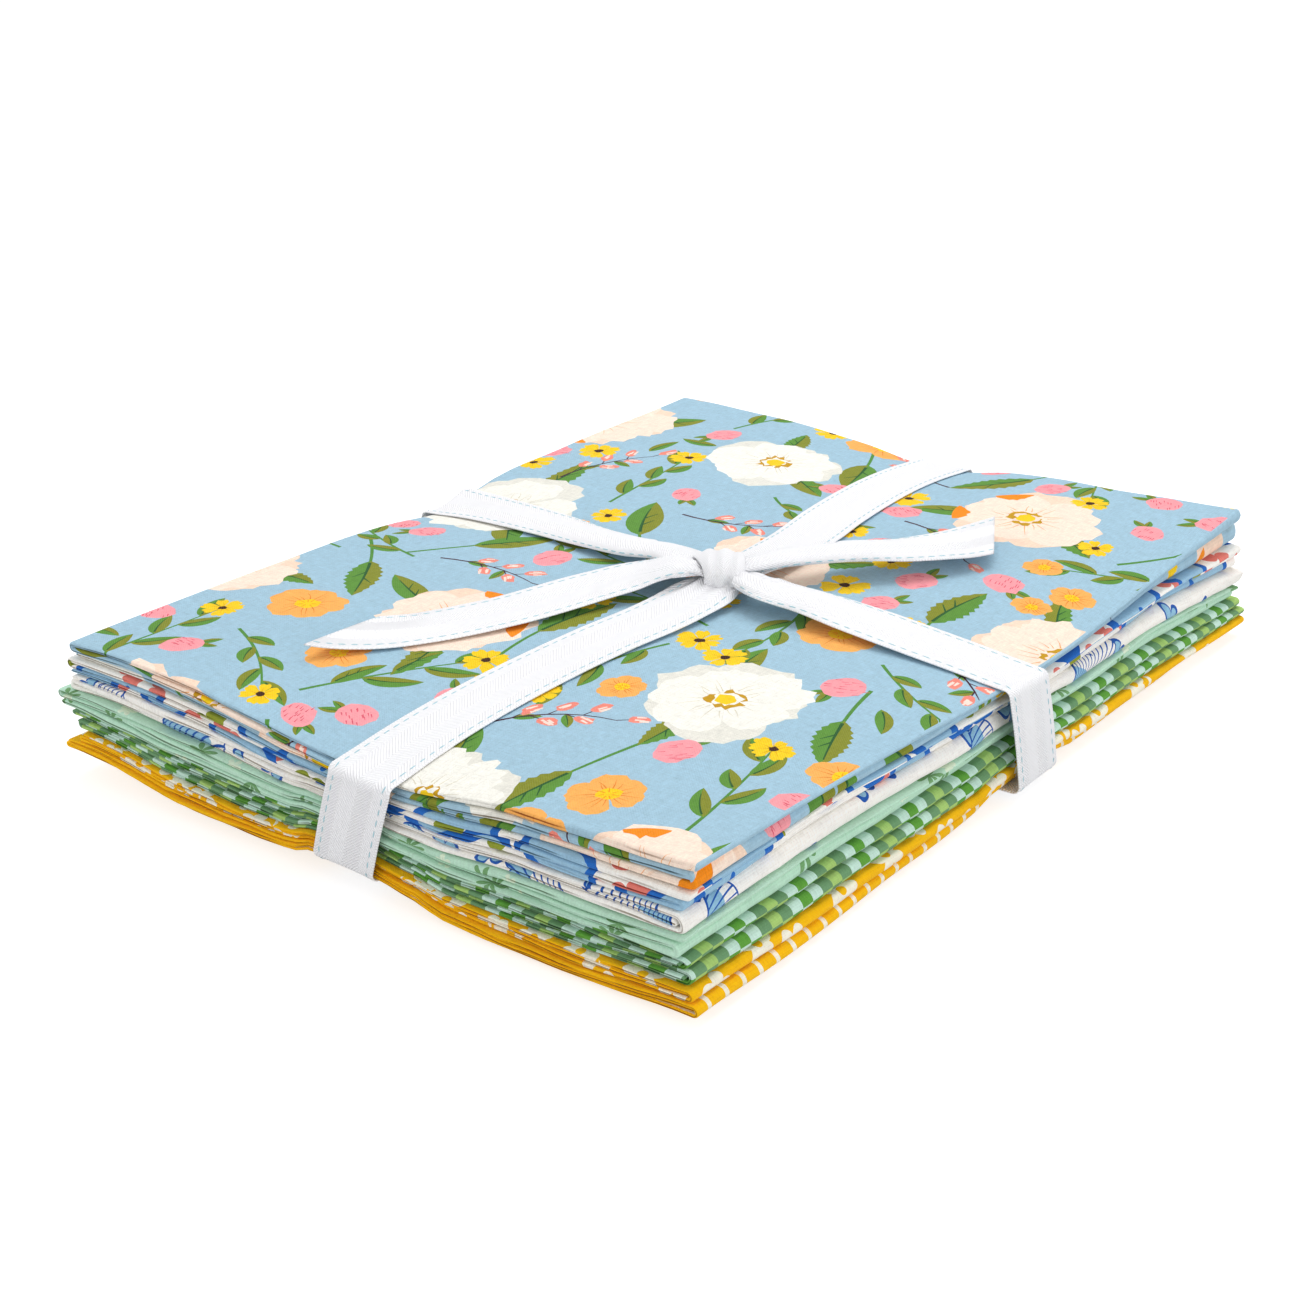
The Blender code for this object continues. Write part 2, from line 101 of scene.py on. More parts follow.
def soft_light(name, place, size, watts):
    """A square soft light that points at the bundle."""
    lamp = bpy.data.lights.new(name, "AREA")
    lamp.size = size
    lamp.energy = watts
    holder = placed(name, lamp)
    holder.location = place
    holder.rotation_euler = (-Vector(place)).to_track_quat("-Z", "Y").to_euler()


def lay_floor():
    """The pale floor, whose glow keeps it as white as the photograph's where the camera sees it and is
    weaker for the light that it sends to the sides.
    """
    half = FLOOR_SIZE / 2
    corners = [(-half, -half, 0.0), (half, -half, 0.0), (half, half, 0.0), (-half, half, 0.0)]
    mesh = bpy.data.meshes.new("floor")
    mesh.from_pydata(corners, [], [(0, 1, 2, 3)])
    floor = placed("floor", mesh)
    paint = bpy.data.materials.new("pale_floor")
    paint.use_nodes = True
    shader = paint.node_tree.nodes["Principled BSDF"]
    shader.inputs["Base Color"].default_value = FLOOR_COLOUR
    shader.inputs["Roughness"].default_value = 0.9
    shader.inputs["Emission Color"].default_value = PURE_WHITE
    glow_by_ray(paint.node_tree, shader.inputs["Emission Strength"], FLOOR_GLOW_AROUND, FLOOR_GLOW_SEEN)
    mesh.materials.append(paint)


look_at_bundle()
lay_floor()
soft_light("light_above", (-0.10, 0.55, 1.30), 1.0, 11.0)
soft_light("light_front", (-0.55, -1.10, 0.55), 0.9, 3.2)
soft_light("light_right", (1.20, -0.25, 0.50), 0.9, 4.6)
sky = bpy.data.worlds.new("sky")
sky.use_nodes = True
backdrop = sky.node_tree.nodes["Background"]
backdrop.inputs["Color"].default_value = PURE_WHITE
glow_by_ray(sky.node_tree, backdrop.inputs["Strength"], SKY_STRENGTH, BACKDROP_STRENGTH)
bpy.context.scene.world = sky
bpy.context.scene.view_settings.view_transform = "Standard"


# Yellow cotton with thin white stripes, the lowest cut
# Each cut is a yard of quilting cotton, folded twice along its length to a strip of four plies. The
# strip is folded again across, here in three layers that stand for all its folds, and pressed flat.
STACK_WIDTH = 0.222
STACK_DEPTH = 0.286
STACK_HEIGHT = 0.0434
LAYER_GAP = 0.0003
CLOTH_GAP = 0.0005
FOLD_SQUASH = 0.85
FREE_EDGE_STEP = 0.0015

# Heights of the stack's top and underside along its four sides, as (place along the side, height)
TOP_EDGES = {
    "front": ((-0.111, 0.0426), (-0.075, 0.0435), (-0.055, 0.0422), (-0.036, 0.0397), (-0.018, 0.0370),
              (-0.005, 0.0357), (0.016, 0.0345), (0.031, 0.0367), (0.051, 0.0396), (0.070, 0.0411),
              (0.088, 0.0420), (0.111, 0.0436)),
    "right": ((-0.143, 0.0435), (-0.121, 0.0426), (-0.096, 0.0414), (-0.069, 0.0400), (-0.040, 0.0379),
              (-0.009, 0.0363), (0.016, 0.0350), (0.042, 0.0360), (0.073, 0.0380), (0.100, 0.0405),
              (0.125, 0.0421), (0.143, 0.0438)),
    "back": ((-0.111, 0.0436), (-0.087, 0.0432), (-0.061, 0.0424), (-0.041, 0.0406), (-0.028, 0.0392),
             (-0.010, 0.0362), (0.010, 0.0362), (0.028, 0.0394), (0.045, 0.0407), (0.070, 0.0416),
             (0.111, 0.0440)),
    "left": ((-0.143, 0.0437), (-0.117, 0.0432), (-0.064, 0.0421), (-0.032, 0.0412), (-0.012, 0.0395),
             (0.002, 0.0374), (0.013, 0.0364), (0.026, 0.0394), (0.034, 0.0409), (0.071, 0.0425),
             (0.143, 0.0432)),
}
BOTTOM_EDGES = {
    "front": ((-0.112, 0.0087), (-0.106, 0.0063), (-0.099, 0.0053), (-0.086, 0.0047), (-0.061, 0.0038),
              (-0.032, 0.0039), (-0.009, 0.0053), (0.007, 0.0047), (0.018, 0.0029), (0.028, 0.0021),
              (0.043, 0.0013), (0.068, 0.0010), (0.111, 0.0016)),
    "right": ((-0.143, 0.0016), (-0.050, 0.0014), (0.014, 0.0020), (0.070, 0.0013), (0.143, 0.0004)),
    "back": ((-0.111, 0.0040), (-0.070, 0.0014), (-0.030, 0.0012), (0.001, 0.0026), (0.030, 0.0008),
             (0.111, 0.0004)),
    "left": ((-0.143, 0.0087), (-0.120, 0.0056), (-0.060, 0.0022), (0.015, 0.0028), (0.060, 0.0012),
             (0.143, 0.0040)),
}
DIP_REACH = 0.036
RISE_REACH = 0.045
HIGHEST_RISE = 0.0090
CHANNEL_X = (0.003, 0.019)
CHANNEL_Y = (0.009, 0.016)
CHANNEL_SHOULDER = 0.008
CHANNEL_DEPTH = 0.0018

# How the topmost layer stands off along the front: by how much, between which places, how softly it
# starts and ends there, and how far in it reaches
TOP_LAYER_LIFT = 0.0014
LIFT_SPAN = (0.012, 0.114)
LIFT_EASE = (0.030, 0.010)
LIFT_REACH = 0.020

# Corners as (side of x, side of y, share of the height that the upper cuts take from the lower ones)
SPRINGING_CORNERS = ((1, -1, 0.10), (1, 1, 0.33), (-1, 1, 0.10))
CORNER_REACH = 0.060
SPRING_POWER = 6

# Waves of the plies, as (seed, length of the waves' wandering, how far it bends them, height, spacing)
PLY_WAVES = ((41, 0.13, 2.5, 0.00045, 0.0090), (42, 0.05, 3.0, 0.00022, 0.0043))

# Unevenness of a cut, as (height or depth, length of the waves): of the layers' ends in slow and in
# quick waves, of the grooves between plies there, and of the folds at the sides. A groove's half width
# is an angle round the end.
END_WAVE = (0.0007, 0.16)
END_QUICK_WAVE = (0.00025, 0.03)
END_GROOVE = (0.00035, 0.05)
GROOVE_ANGLE = 0.30
SIDE_WAVE = (0.0004, 0.07)

# How far from the middle the side folds' own shifts begin, and the distance over which they grow
SIDE_SHIFT_FROM = 0.04
SIDE_SHIFT_OVER = 0.05

# Places of the mesh's lines close to a layer's two ends, where the even ones between them start, and how
# many those are, then the same for its long edges, the lines round one of these, and the radius under
# which a bend has fewer lines
EDGE_LINES = (0.0, 0.0002, 0.0005, 0.0010, 0.0020, 0.0035)
EVEN_FROM = 0.006
EVEN_LINES = 44
LONG_EDGE_LINES = (0.0, 0.0004, 0.0010, 0.0020, 0.0035, 0.0055)
LONG_EVEN_FROM = 0.009
LONG_EVEN_LINES = 16
CAP_LINES = 13
SMALL_BEND = 0.0012


def eased(share):
    """0 below 0, 1 above 1, and smooth between."""
    share = np.clip(share, 0.0, 1.0)
    return share * share * (3.0 - 2.0 * share)


def curve_through(points, at):
    """Smooth curve through (place, value) points, read at an array of places."""
    places, values = np.array(points).T
    slopes = np.gradient(values, places)
    at = np.clip(at, places[0], places[-1])
    cell = np.clip(np.searchsorted(places, at) - 1, 0, len(places) - 2)
    width = places[cell + 1] - places[cell]
    t = (at - places[cell]) / width
    start = (1 + 2 * t) * (1 - t) ** 2 * values[cell] + t * t * (3 - 2 * t) * values[cell + 1]
    return start + width * (t * (1 - t) ** 2 * slopes[cell] - t * t * (1 - t) * slopes[cell + 1])


def ripple(seed, x, y, length):
    """Slow unevenness between about -1 and 1, in waves of about this length."""
    chance = np.random.default_rng(seed)
    total = 0.0
    for _ in range(6):
        angle, start = chance.uniform(0.0, 2 * math.pi, 2)
        turns = chance.uniform(0.6, 1.7) / length
        total = total + np.sin(2 * math.pi * turns * (x * math.cos(angle) + y * math.sin(angle)) + start)
    return total / 3.2


def sides_at(x, y):
    """For each side its name, the place along it and the distance inwards from it."""
    return (
        ("front", x, y + STACK_DEPTH / 2),
        ("right", y, STACK_WIDTH / 2 - x),
        ("back", x, STACK_DEPTH / 2 - y),
        ("left", y, x + STACK_WIDTH / 2),
    )


def stack_top(x, y):
    """Height of the pressed stack's top."""
    drop = 0.0
    for side, along, inward in sides_at(x, y):
        fading = np.exp(-np.maximum(inward, 0.0) / DIP_REACH)
        drop = drop + (STACK_HEIGHT - curve_through(TOP_EDGES[side], along)) * fading
    return STACK_HEIGHT - drop


def stack_bottom(x, y):
    """Height of the pressed stack's underside, with the channels in which the ribbon lies."""
    flat = 1.0
    for side, along, inward in sides_at(x, y):
        fading = eased(1 - np.maximum(inward, 0.0) / RISE_REACH)
        flat = flat * (1 - curve_through(BOTTOM_EDGES[side], along) * fading / HIGHEST_RISE)
    across_x = eased((CHANNEL_X[1] + CHANNEL_SHOULDER - np.abs(x - CHANNEL_X[0])) / CHANNEL_SHOULDER)
    across_y = eased((CHANNEL_Y[1] + CHANNEL_SHOULDER - np.abs(y - CHANNEL_Y[0])) / CHANNEL_SHOULDER)
    return HIGHEST_RISE * (1 - flat) + CHANNEL_DEPTH * np.maximum(across_x, across_y)


def level(x, y, height):
    """Where a point at this height of the loose stack lies once the ribbon is tied."""
    share = np.clip(height / STACK_HEIGHT, 0.0, 1.2)
    middle = np.sin(math.pi * np.clip(share, 0.0, 1.0))
    wander = 0.0
    for seed, length, bend, size, spacing in PLY_WAVES:
        wander = wander + size * np.sin(2 * math.pi * height / spacing + bend * ripple(seed, x, y, length))
    share = share + middle * wander / STACK_HEIGHT
    taken = 0.0
    for side_x, side_y, spring in SPRINGING_CORNERS:
        from_x = np.maximum(STACK_WIDTH / 2 - side_x * x, 0.0)
        from_y = np.maximum(STACK_DEPTH / 2 - side_y * y, 0.0)
        near = np.clip(1 - from_x / CORNER_REACH, 0, 1) * np.clip(1 - from_y / CORNER_REACH, 0, 1)
        taken = taken + spring * near * (share - share ** SPRING_POWER)
    low = stack_bottom(x, y)
    high = stack_top(x, y) - front_lift(x, y)
    return low + (high - low) * (share - taken)


def front_lift(x, y):
    """How far the topmost layer stands off the others along the stack's front edge."""
    along = eased((x - LIFT_SPAN[0]) / LIFT_EASE[0]) * eased((LIFT_SPAN[1] - x) / LIFT_EASE[1])
    return TOP_LAYER_LIFT * along * np.exp(-np.maximum(y + STACK_DEPTH / 2, 0.0) / LIFT_REACH)


class FoldedCut:
    """One cut's strip: u runs along it from its first end, and v across it and round its long edges."""

    laid = 0.0
    number = 0

    def __init__(self, share, form, right, left, ends):
        FoldedCut.number += 1
        self.seed = FoldedCut.number
        self.base = FoldedCut.laid
        FoldedCut.laid += share * STACK_HEIGHT
        self.right = right
        self.left = left
        self.ends = ends
        self.top_layer_lifts = False
        self.thickness = (share * STACK_HEIGHT - CLOTH_GAP - 2 * LAYER_GAP) / 3
        self.flat = STACK_DEPTH / 2
        self.cap = math.pi / 2 * self.thickness
        self.reach = 2 * self.flat + self.cap
        layers = self.roll_path() if form == "roll" else self.flap_path()
        self.marks = [len(part) for part in layers]
        self.path = measured(layers)
        self.length = self.path[0][-1]

    def heights(self):
        """Heights of the three layers' middles, and from one to the next."""
        pitch = self.thickness + LAYER_GAP
        return [self.base + self.thickness / 2 + pitch * n for n in range(3)], pitch

    def roll_path(self):
        """Top layer, a fold at +X round all of it, bottom layer, a small fold at -X, middle layer."""
        (low, middle, high), pitch = self.heights()
        big = STACK_WIDTH / 2 - pitch * FOLD_SQUASH - self.thickness / 2
        small = -STACK_WIDTH / 2 + pitch / 2 * FOLD_SQUASH + self.thickness / 2
        start = -STACK_WIDTH / 2 + FREE_EDGE_STEP
        return [
            run(start, big, high, 1),
            arc(big, middle, pitch, 90, -90, 1, 1),
            run(big, small, low, -1),
            arc(small, (low + middle) / 2, pitch / 2, -90, 90, -1, 1),
            run(small, big, middle, 1),
        ]

    def flap_path(self):
        """Top layer from its free edge at +X, a fold at -X, middle layer, a fold at +X, bottom layer."""
        (low, middle, high), pitch = self.heights()
        left = -STACK_WIDTH / 2 + pitch / 2 * FOLD_SQUASH + self.thickness / 2
        right = -left - FREE_EDGE_STEP
        return [
            run(STACK_WIDTH / 2, left, high, 1),
            arc(left, (high + middle) / 2, pitch / 2, 90, -90, -1, 1),
            run(left, right, middle, -1),
            arc(right, (low + middle) / 2, pitch / 2, 90, -90, 1, -1),
            run(right, -STACK_WIDTH / 2 + FREE_EDGE_STEP, low, 1),
        ]

    def place(self, u, v):
        """Points of the strip's surface in the tied stack."""
        x, height, normal_x, normal_height = (np.interp(u, self.path[0], row) for row in self.path[1:])
        from_end = np.minimum(u, self.length - u) - 1e-6
        from_end = np.clip(from_end / (0.6 * self.thickness), 0.0, 1.0)
        half = self.thickness / 2 * np.sqrt(1 - (1 - from_end) ** 2)
        away = np.abs(v)
        turn = np.clip((away - self.flat) / self.cap, 0.0, 1.0) * math.pi
        along = np.minimum(away, self.flat) - np.maximum(away - self.flat - self.cap, 0.0)
        number = self.seed
        uneven = END_WAVE[0] * ripple(number, u, 0.0 * v, END_WAVE[1])
        uneven = uneven + END_QUICK_WAVE[0] * ripple(number + 20, u, 0.0 * v, END_QUICK_WAVE[1])
        end = np.where(v < 0, self.ends[0] + uneven, self.ends[1] - uneven)
        groove = np.clip(0.5 + 0.8 * ripple(number + 40, u, 0.01 * np.sign(v), END_GROOVE[1]), 0.0, 1.0)
        groove = END_GROOVE[0] * groove * np.exp(-(((turn - math.pi / 2) / GROOVE_ANGLE) ** 2))
        reach = STACK_DEPTH / 2 + end - self.thickness / 2
        y = np.sign(v) * (along / self.flat * reach + self.thickness / 2 * np.sin(turn) - groove)
        out = half * np.cos(turn)
        x = x + out * normal_x
        height = height + out * normal_height
        share = y / STACK_DEPTH + 0.5
        wave = SIDE_WAVE[0] * ripple(number + 60, height * 9, y, SIDE_WAVE[1])
        right = self.right[0] + (self.right[1] - self.right[0]) * share + wave
        left = self.left[0] + (self.left[1] - self.left[0]) * share + wave
        shift_right = right * eased((x - SIDE_SHIFT_FROM) / SIDE_SHIFT_OVER)
        x = x + shift_right - left * eased((-x - SIDE_SHIFT_FROM) / SIDE_SHIFT_OVER)
        z = level(x, y, height)
        if self.top_layer_lifts:
            (_, middle, _), pitch = self.heights()
            z = z + front_lift(x, y) * eased((height - middle) / pitch)
        return np.stack([x, y, z], -1)


def run(start, stop, height, facing):
    """One flat layer as rows of (x, height, normal x, normal height)."""
    length = abs(stop - start)
    near = np.array(EDGE_LINES)
    inner = np.linspace(EVEN_FROM, length - EVEN_FROM, EVEN_LINES)
    steps = np.concatenate([near, inner, length - near[::-1]])
    x = start + math.copysign(1.0, stop - start) * steps
    return np.stack([x, x * 0 + height, x * 0, x * 0 + facing], 1)


def arc(centre, height, radius, first, last, side, facing):
    """The bend between two layers, without its two ends."""
    steps = 9 if radius < SMALL_BEND else 14
    angles = np.radians(np.linspace(first, last, steps + 1)[1:-1])
    out_x = side * np.cos(angles)
    out_height = np.sin(angles)
    x = centre + radius * FOLD_SQUASH * out_x
    return np.stack([x, height + radius * out_height, facing * out_x, facing * out_height], 1)


def measured(parts):
    """The parts of a path joined, with the distance along it in front."""
    path = np.concatenate(parts)
    steps = np.hypot(*np.diff(path[:, :2], axis=0).T)
    along = np.concatenate([[0.0], np.cumsum(steps)])
    return [along, *path.T]


def lines_round(cut):
    """Places of the lines that run along the strip, from the middle of its underside round it."""
    half = cut.flat
    upper = half - np.concatenate([LONG_EDGE_LINES, np.linspace(LONG_EVEN_FROM, half, LONG_EVEN_LINES)])
    cap = half + cut.cap * np.linspace(0, 1, CAP_LINES)[1:]
    lower = 2 * half + cut.cap - upper[1:]
    one_side = np.concatenate([upper[::-1], cap, lower])
    return np.concatenate([-one_side[:0:-1], one_side])


def closed_mesh(name, points, faces, flat_places, colours=None):
    """A mesh object whose faces point outwards, with the flat cloth's metres as its UV map."""
    mesh = bpy.data.meshes.new(name)
    mesh.from_pydata(points.tolist(), [], faces.tolist())
    layer = mesh.uv_layers.new(name="flat_metres")
    layer.data.foreach_set("uv", flat_places.astype(np.float32).ravel())
    if colours is not None:
        paint = mesh.color_attributes.new("print", "FLOAT_COLOR", "CORNER")
        corners = np.repeat(colours, faces.shape[1], axis=0)
        rows = np.concatenate([corners, np.ones((len(corners), 1))], 1)
        paint.data.foreach_set("color", rows.astype(np.float32).ravel())
    shape = bmesh.new()
    shape.from_mesh(mesh)
    bmesh.ops.remove_doubles(shape, verts=shape.verts[:], dist=1e-7)
    if shape.calc_volume(signed=True) < 0:
        bmesh.ops.reverse_faces(shape, faces=shape.faces[:])
    for face in shape.faces:
        face.smooth = True
    shape.to_mesh(mesh)
    shape.free()
    return placed(name, mesh)


def sheet_piece(name, cut):
    """The cut as a closed sheet."""
    along = cut.path[0]
    across = lines_round(cut)
    u, v = np.meshgrid(along, across, indexing="ij")
    points = cut.place(u.ravel(), v.ravel())
    rows, columns = u.shape
    i, j = np.meshgrid(np.arange(rows - 1), np.arange(columns - 1), indexing="ij")
    corner = (i * columns + j).ravel()
    faces = np.stack([corner, corner + columns, corner + columns + 1, corner + 1], 1)
    flat_places = np.stack([u.ravel(), v.ravel()], 1)[faces.ravel()]
    return closed_mesh(name, points, faces, flat_places)


def lay_cut(piece, cut, pattern, node, slot):
    """Print a cut and put it in its solid's place, hiding that solid."""
    piece.data.materials.append(cotton(slot, pattern, cut))
    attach(piece, "root")
    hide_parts(node)


def linear(colour):
    """The shader's colour for one read from the photograph."""
    share = np.array(colour) / 255.0
    return np.where(share <= 0.04045, share / 12.92, ((share + 0.055) / 1.055) ** 2.4)


class Recipe:
    """Nodes of one material or node group, joined as they are added."""

    def __init__(self, tree):
        self.tree = tree

    def add(self, kind, fed=(), **settings):
        """A new node; fed has a value or another node's output for each socket that it names."""
        node = self.tree.nodes.new(kind)
        for name, value in settings.items():
            setattr(node, name, value)
        for name, value in dict(fed).items():
            self.feed(node.inputs[name], value)
        return node

    def feed(self, socket, value):
        if isinstance(value, bpy.types.NodeSocket):
            self.tree.links.new(value, socket)
        else:
            socket.default_value = value

    def math(self, operation, *values):
        return self.add("ShaderNodeMath", enumerate(values), operation=operation).outputs[0]

    def vector(self, operation, first, second=None, scale=None):
        node = self.add("ShaderNodeVectorMath", {0: first}, operation=operation)
        if second is not None:
            self.feed(node.inputs[1], second)
        if scale is not None:
            self.feed(node.inputs["Scale"], scale)
        return node.outputs["Value" if operation == "LENGTH" else "Vector"]

    def parts(self, vector):
        return self.add("ShaderNodeSeparateXYZ", {0: vector}).outputs

    def mix(self, share, first, second, blend="MIX"):
        sides = [(*linear(side), 1.0) if isinstance(side, tuple) else side for side in (first, second)]
        fed = {0: share, 6: sides[0], 7: sides[1]}
        return self.add("ShaderNodeMix", fed, data_type="RGBA", blend_type=blend).outputs[2]

    def ramp(self, value, low, high):
        """0 below low, 1 above high."""
        fed = enumerate((value, low, high))
        return self.add("ShaderNodeMapRange", fed, interpolation_type="SMOOTHSTEP").outputs[0]

    def noise(self, place, stretch, detail=2.0):
        """Noise whose grains are 1 / stretch long each way."""
        fed = {"Vector": self.vector("MULTIPLY", place, stretch), "Scale": 1.0, "Detail": detail}
        return self.add("ShaderNodeTexNoise", fed).outputs["Fac"]

    def use(self, group, **values):
        """A node group with its inputs fed; an input's name has _ for each space."""
        fed = {name.replace("_", " "): value for name, value in values.items()}
        return self.add("ShaderNodeGroup", fed, node_tree=group).outputs


def shader_group(name, inputs, outputs):
    """An empty shader node group and its recipe, its inputs' sockets and its output node."""
    group = bpy.data.node_groups.new(name, "ShaderNodeTree")
    for label, kind, value in inputs:
        socket = group.interface.new_socket(label, in_out="INPUT", socket_type="NodeSocket" + kind)
        if value is not None:
            socket.default_value = value
    for label in outputs:
        group.interface.new_socket(label, in_out="OUTPUT", socket_type="NodeSocketFloat")
    recipe = Recipe(group)
    given = recipe.add("NodeGroupInput").outputs
    return group, recipe, given, recipe.add("NodeGroupOutput").inputs


def cotton_weave():
    """Plain weave of fine yarn: the yarns' relief, and the uneven tone of the cloth with painted shade
    between the yarns.
    """
    inputs = (("Place", "Vector", None), ("Yarn Pitch", "Float", 0.00042))
    group, recipe, given, made = shader_group("cotton_weave", inputs, ("Relief", "Tone And Shade"))
    along, across, _ = recipe.parts(given["Place"])
    turns = [recipe.math("DIVIDE", recipe.math("MULTIPLY", part, math.pi), given["Yarn Pitch"])
             for part in (along, across)]
    sines = [recipe.math("SINE", turn) for turn in turns]
    over = recipe.math("GREATER_THAN", recipe.math("MULTIPLY", *sines), 0.0)
    yarns = [recipe.math("ABSOLUTE", sine) for sine in sines]
    lifted = recipe.math("MULTIPLY", recipe.math("SUBTRACT", yarns[0], yarns[1]), over)
    woven = recipe.math("ADD", lifted, yarns[1])
    slubs = [recipe.noise(given["Place"], stretch) for stretch in ((240.0, 1700.0, 0), (1700.0, 240.0, 0))]
    speckle = recipe.noise(given["Place"], (1500.0, 1500.0, 0), 3.0)
    slub = recipe.math("ADD", recipe.math("ADD", *slubs), speckle)
    recipe.feed(made["Relief"], recipe.math("ADD", woven, recipe.math("MULTIPLY", slub, 0.5)))
    cloudy = recipe.noise(given["Place"], (22.0, 22.0, 0), 1.0)
    tone = recipe.math("MULTIPLY_ADD", slub, 0.26, 0.545)
    # Painted shade: the yarns' relief darkens the tone between the yarns, over the slubs' and the cloth's
    # random tone
    tone = recipe.math("MULTIPLY_ADD", woven, 0.10, tone)
    recipe.feed(made["Tone And Shade"], recipe.math("MULTIPLY_ADD", cloudy, 0.05, tone))
    return group


def scattered_motifs():
    """Petalled motifs strewn over the cloth: how far out a place is, where the outline is, and chance."""
    inputs = (("Place", "Vector", None), ("Spacing", "Float", 0.02), ("Reach", "Float", 0.005),
              ("Petals", "Float", 5.0), ("Cleft", "Float", 0.3), ("Shift", "Float", 0.0))
    outputs = ("Away", "Outline", "Inside", "Angle", "Chance")
    group, recipe, given, made = shader_group("scattered_motifs", inputs, outputs)
    shift = recipe.add("ShaderNodeCombineXYZ", {0: given["Shift"], 1: given["Shift"]})
    closer = recipe.math("DIVIDE", 1.0, given["Spacing"])
    place = recipe.vector("ADD", recipe.vector("SCALE", given["Place"], scale=closer), shift.outputs[0])
    fed = {"Vector": place, "Scale": 1.0, "Randomness": 0.8}
    cells = recipe.add("ShaderNodeTexVoronoi", fed, voronoi_dimensions="2D")
    local = recipe.vector("SUBTRACT", place, cells.outputs["Position"])
    larger = recipe.math("DIVIDE", given["Spacing"], given["Reach"])
    away = recipe.math("MULTIPLY", recipe.vector("LENGTH", local), larger)
    x, y, _ = recipe.parts(local)
    chance = recipe.parts(cells.outputs["Color"])
    angle = recipe.math("ADD", recipe.math("ARCTAN2", y, x), recipe.math("MULTIPLY", chance[0], 6.28))
    half_angle = recipe.math("MULTIPLY", angle, 0.5)
    petal = recipe.math("COSINE", recipe.math("MULTIPLY", half_angle, given["Petals"]))
    notch = recipe.math("SUBTRACT", 1.0, recipe.math("ABSOLUTE", petal))
    outline = recipe.math("SUBTRACT", 1.0, recipe.math("MULTIPLY", notch, given["Cleft"]))
    inside = recipe.math("LESS_THAN", away, outline)
    for label, value in zip(outputs, (away, outline, inside, angle, chance[1])):
        recipe.feed(made[label], value)
    return group


WEAVE = cotton_weave()
MOTIFS = scattered_motifs()
COTTON_FINISH = {"Roughness": 0.88, "Specular IOR Level": 0.15, "Sheen Weight": 0.05, "Sheen Roughness": 0.5}
COTTON_BUMP = {"Strength": 0.7, "Distance": 0.00012}
# Width and tint of the painted shadow line between two plies at the middle of the cloth's long edges
PLY_SHADOW_WIDTH = 0.00032
PLY_SHADOW_TINT = (150, 140, 130)


def painted_ply_shadow(recipe, place, cut):
    """Where the shadow between two plies shows at the middle of the cloth's long edges."""
    across = recipe.math("ABSOLUTE", recipe.parts(place)[1])
    wander = recipe.math("MULTIPLY_ADD", recipe.noise(place, (60.0, 0.0, 0.0), 1.0), 0.0007, -0.00035)
    away = recipe.math("SUBTRACT", recipe.math("ADD", across, wander), cut.flat + cut.cap / 2)
    line = recipe.ramp(recipe.math("ABSOLUTE", away), 0.00005, PLY_SHADOW_WIDTH)
    ends = recipe.ramp(recipe.noise(place, (45.0, 2.0, 0.0), 0.0), 0.44, 0.64)
    return recipe.math("MULTIPLY", recipe.math("SUBTRACT", 1.0, line), recipe.math("SUBTRACT", 1.0, ends))


def woven_cloth(name, look, finish, bump):
    """A woven material: look gives its colour and relief from a place on the flat cloth."""
    cloth = bpy.data.materials.new(name)
    cloth.use_nodes = True
    recipe = Recipe(cloth.node_tree)
    place = recipe.add("ShaderNodeUVMap", uv_map="flat_metres").outputs["UV"]
    colour, relief = look(recipe, place)
    raised = recipe.add("ShaderNodeBump", {**bump, "Height": relief}).outputs["Normal"]
    shader = cloth.node_tree.nodes["Principled BSDF"]
    for label, value in {**finish, "Base Color": colour, "Normal": raised}.items():
        recipe.feed(shader.inputs[label], value)
    return cloth


def cotton(name, pattern, cut):
    """Printed quilting cotton: pattern gives its colour from a place on the flat cloth, darkened by a
    painted shadow line between the plies at its long edges.
    """
    def look(recipe, place):
        weave = recipe.use(WEAVE, Place=place)
        colour = recipe.mix(1.0, pattern(recipe, place), weave["Tone And Shade"], "MULTIPLY")
        # Painted shadow: the cloth's colour darkened along the line between two plies
        ply_shadow_colour = recipe.mix(1.0, recipe.mix(1.0, colour, colour, "MULTIPLY"), PLY_SHADOW_TINT, "MULTIPLY")
        return recipe.mix(painted_ply_shadow(recipe, place, cut), colour, ply_shadow_colour), weave["Relief"]

    return woven_cloth(name, look, COTTON_FINISH, COTTON_BUMP)


STRIPE_SPACING = 0.00675
STRIPE_FROM_EDGE = 0.0046
STRIPE_WIDTH = 0.0015
YELLOW = (255, 194, 4)
STRIPE_WHITE = (250, 244, 226)


def white_stripes(recipe, place):
    """Thin white lines across the fold, a little unevenly printed."""
    from_edge = recipe.math("SUBTRACT", STACK_DEPTH / 2 - STRIPE_FROM_EDGE,
                            recipe.math("ABSOLUTE", recipe.parts(place)[1]))
    uneven = recipe.math("MULTIPLY_ADD", recipe.noise(place, (260.0, 90.0, 0)), 0.0008, from_edge)
    within = recipe.math("PINGPONG", uneven, STRIPE_SPACING / 2)
    fine = recipe.noise(place, (500.0, 500.0, 0))
    width = recipe.math("MULTIPLY_ADD", fine, 0.0005, STRIPE_WIDTH / 2 - 0.00025)
    line = recipe.math("LESS_THAN", within, width)
    return recipe.mix(line, YELLOW, STRIPE_WHITE)


yellow_stripe = FoldedCut(0.100, "roll", (-0.0005, -0.0010), (0.0050, 0.0010), (0.0015, 0.0010))
piece = sheet_piece("cut_yellow_stripe", yellow_stripe)
lay_cut(piece, yellow_stripe, white_stripes, "cloth_8_yellow_stripe", "cotton_yellow_stripe")


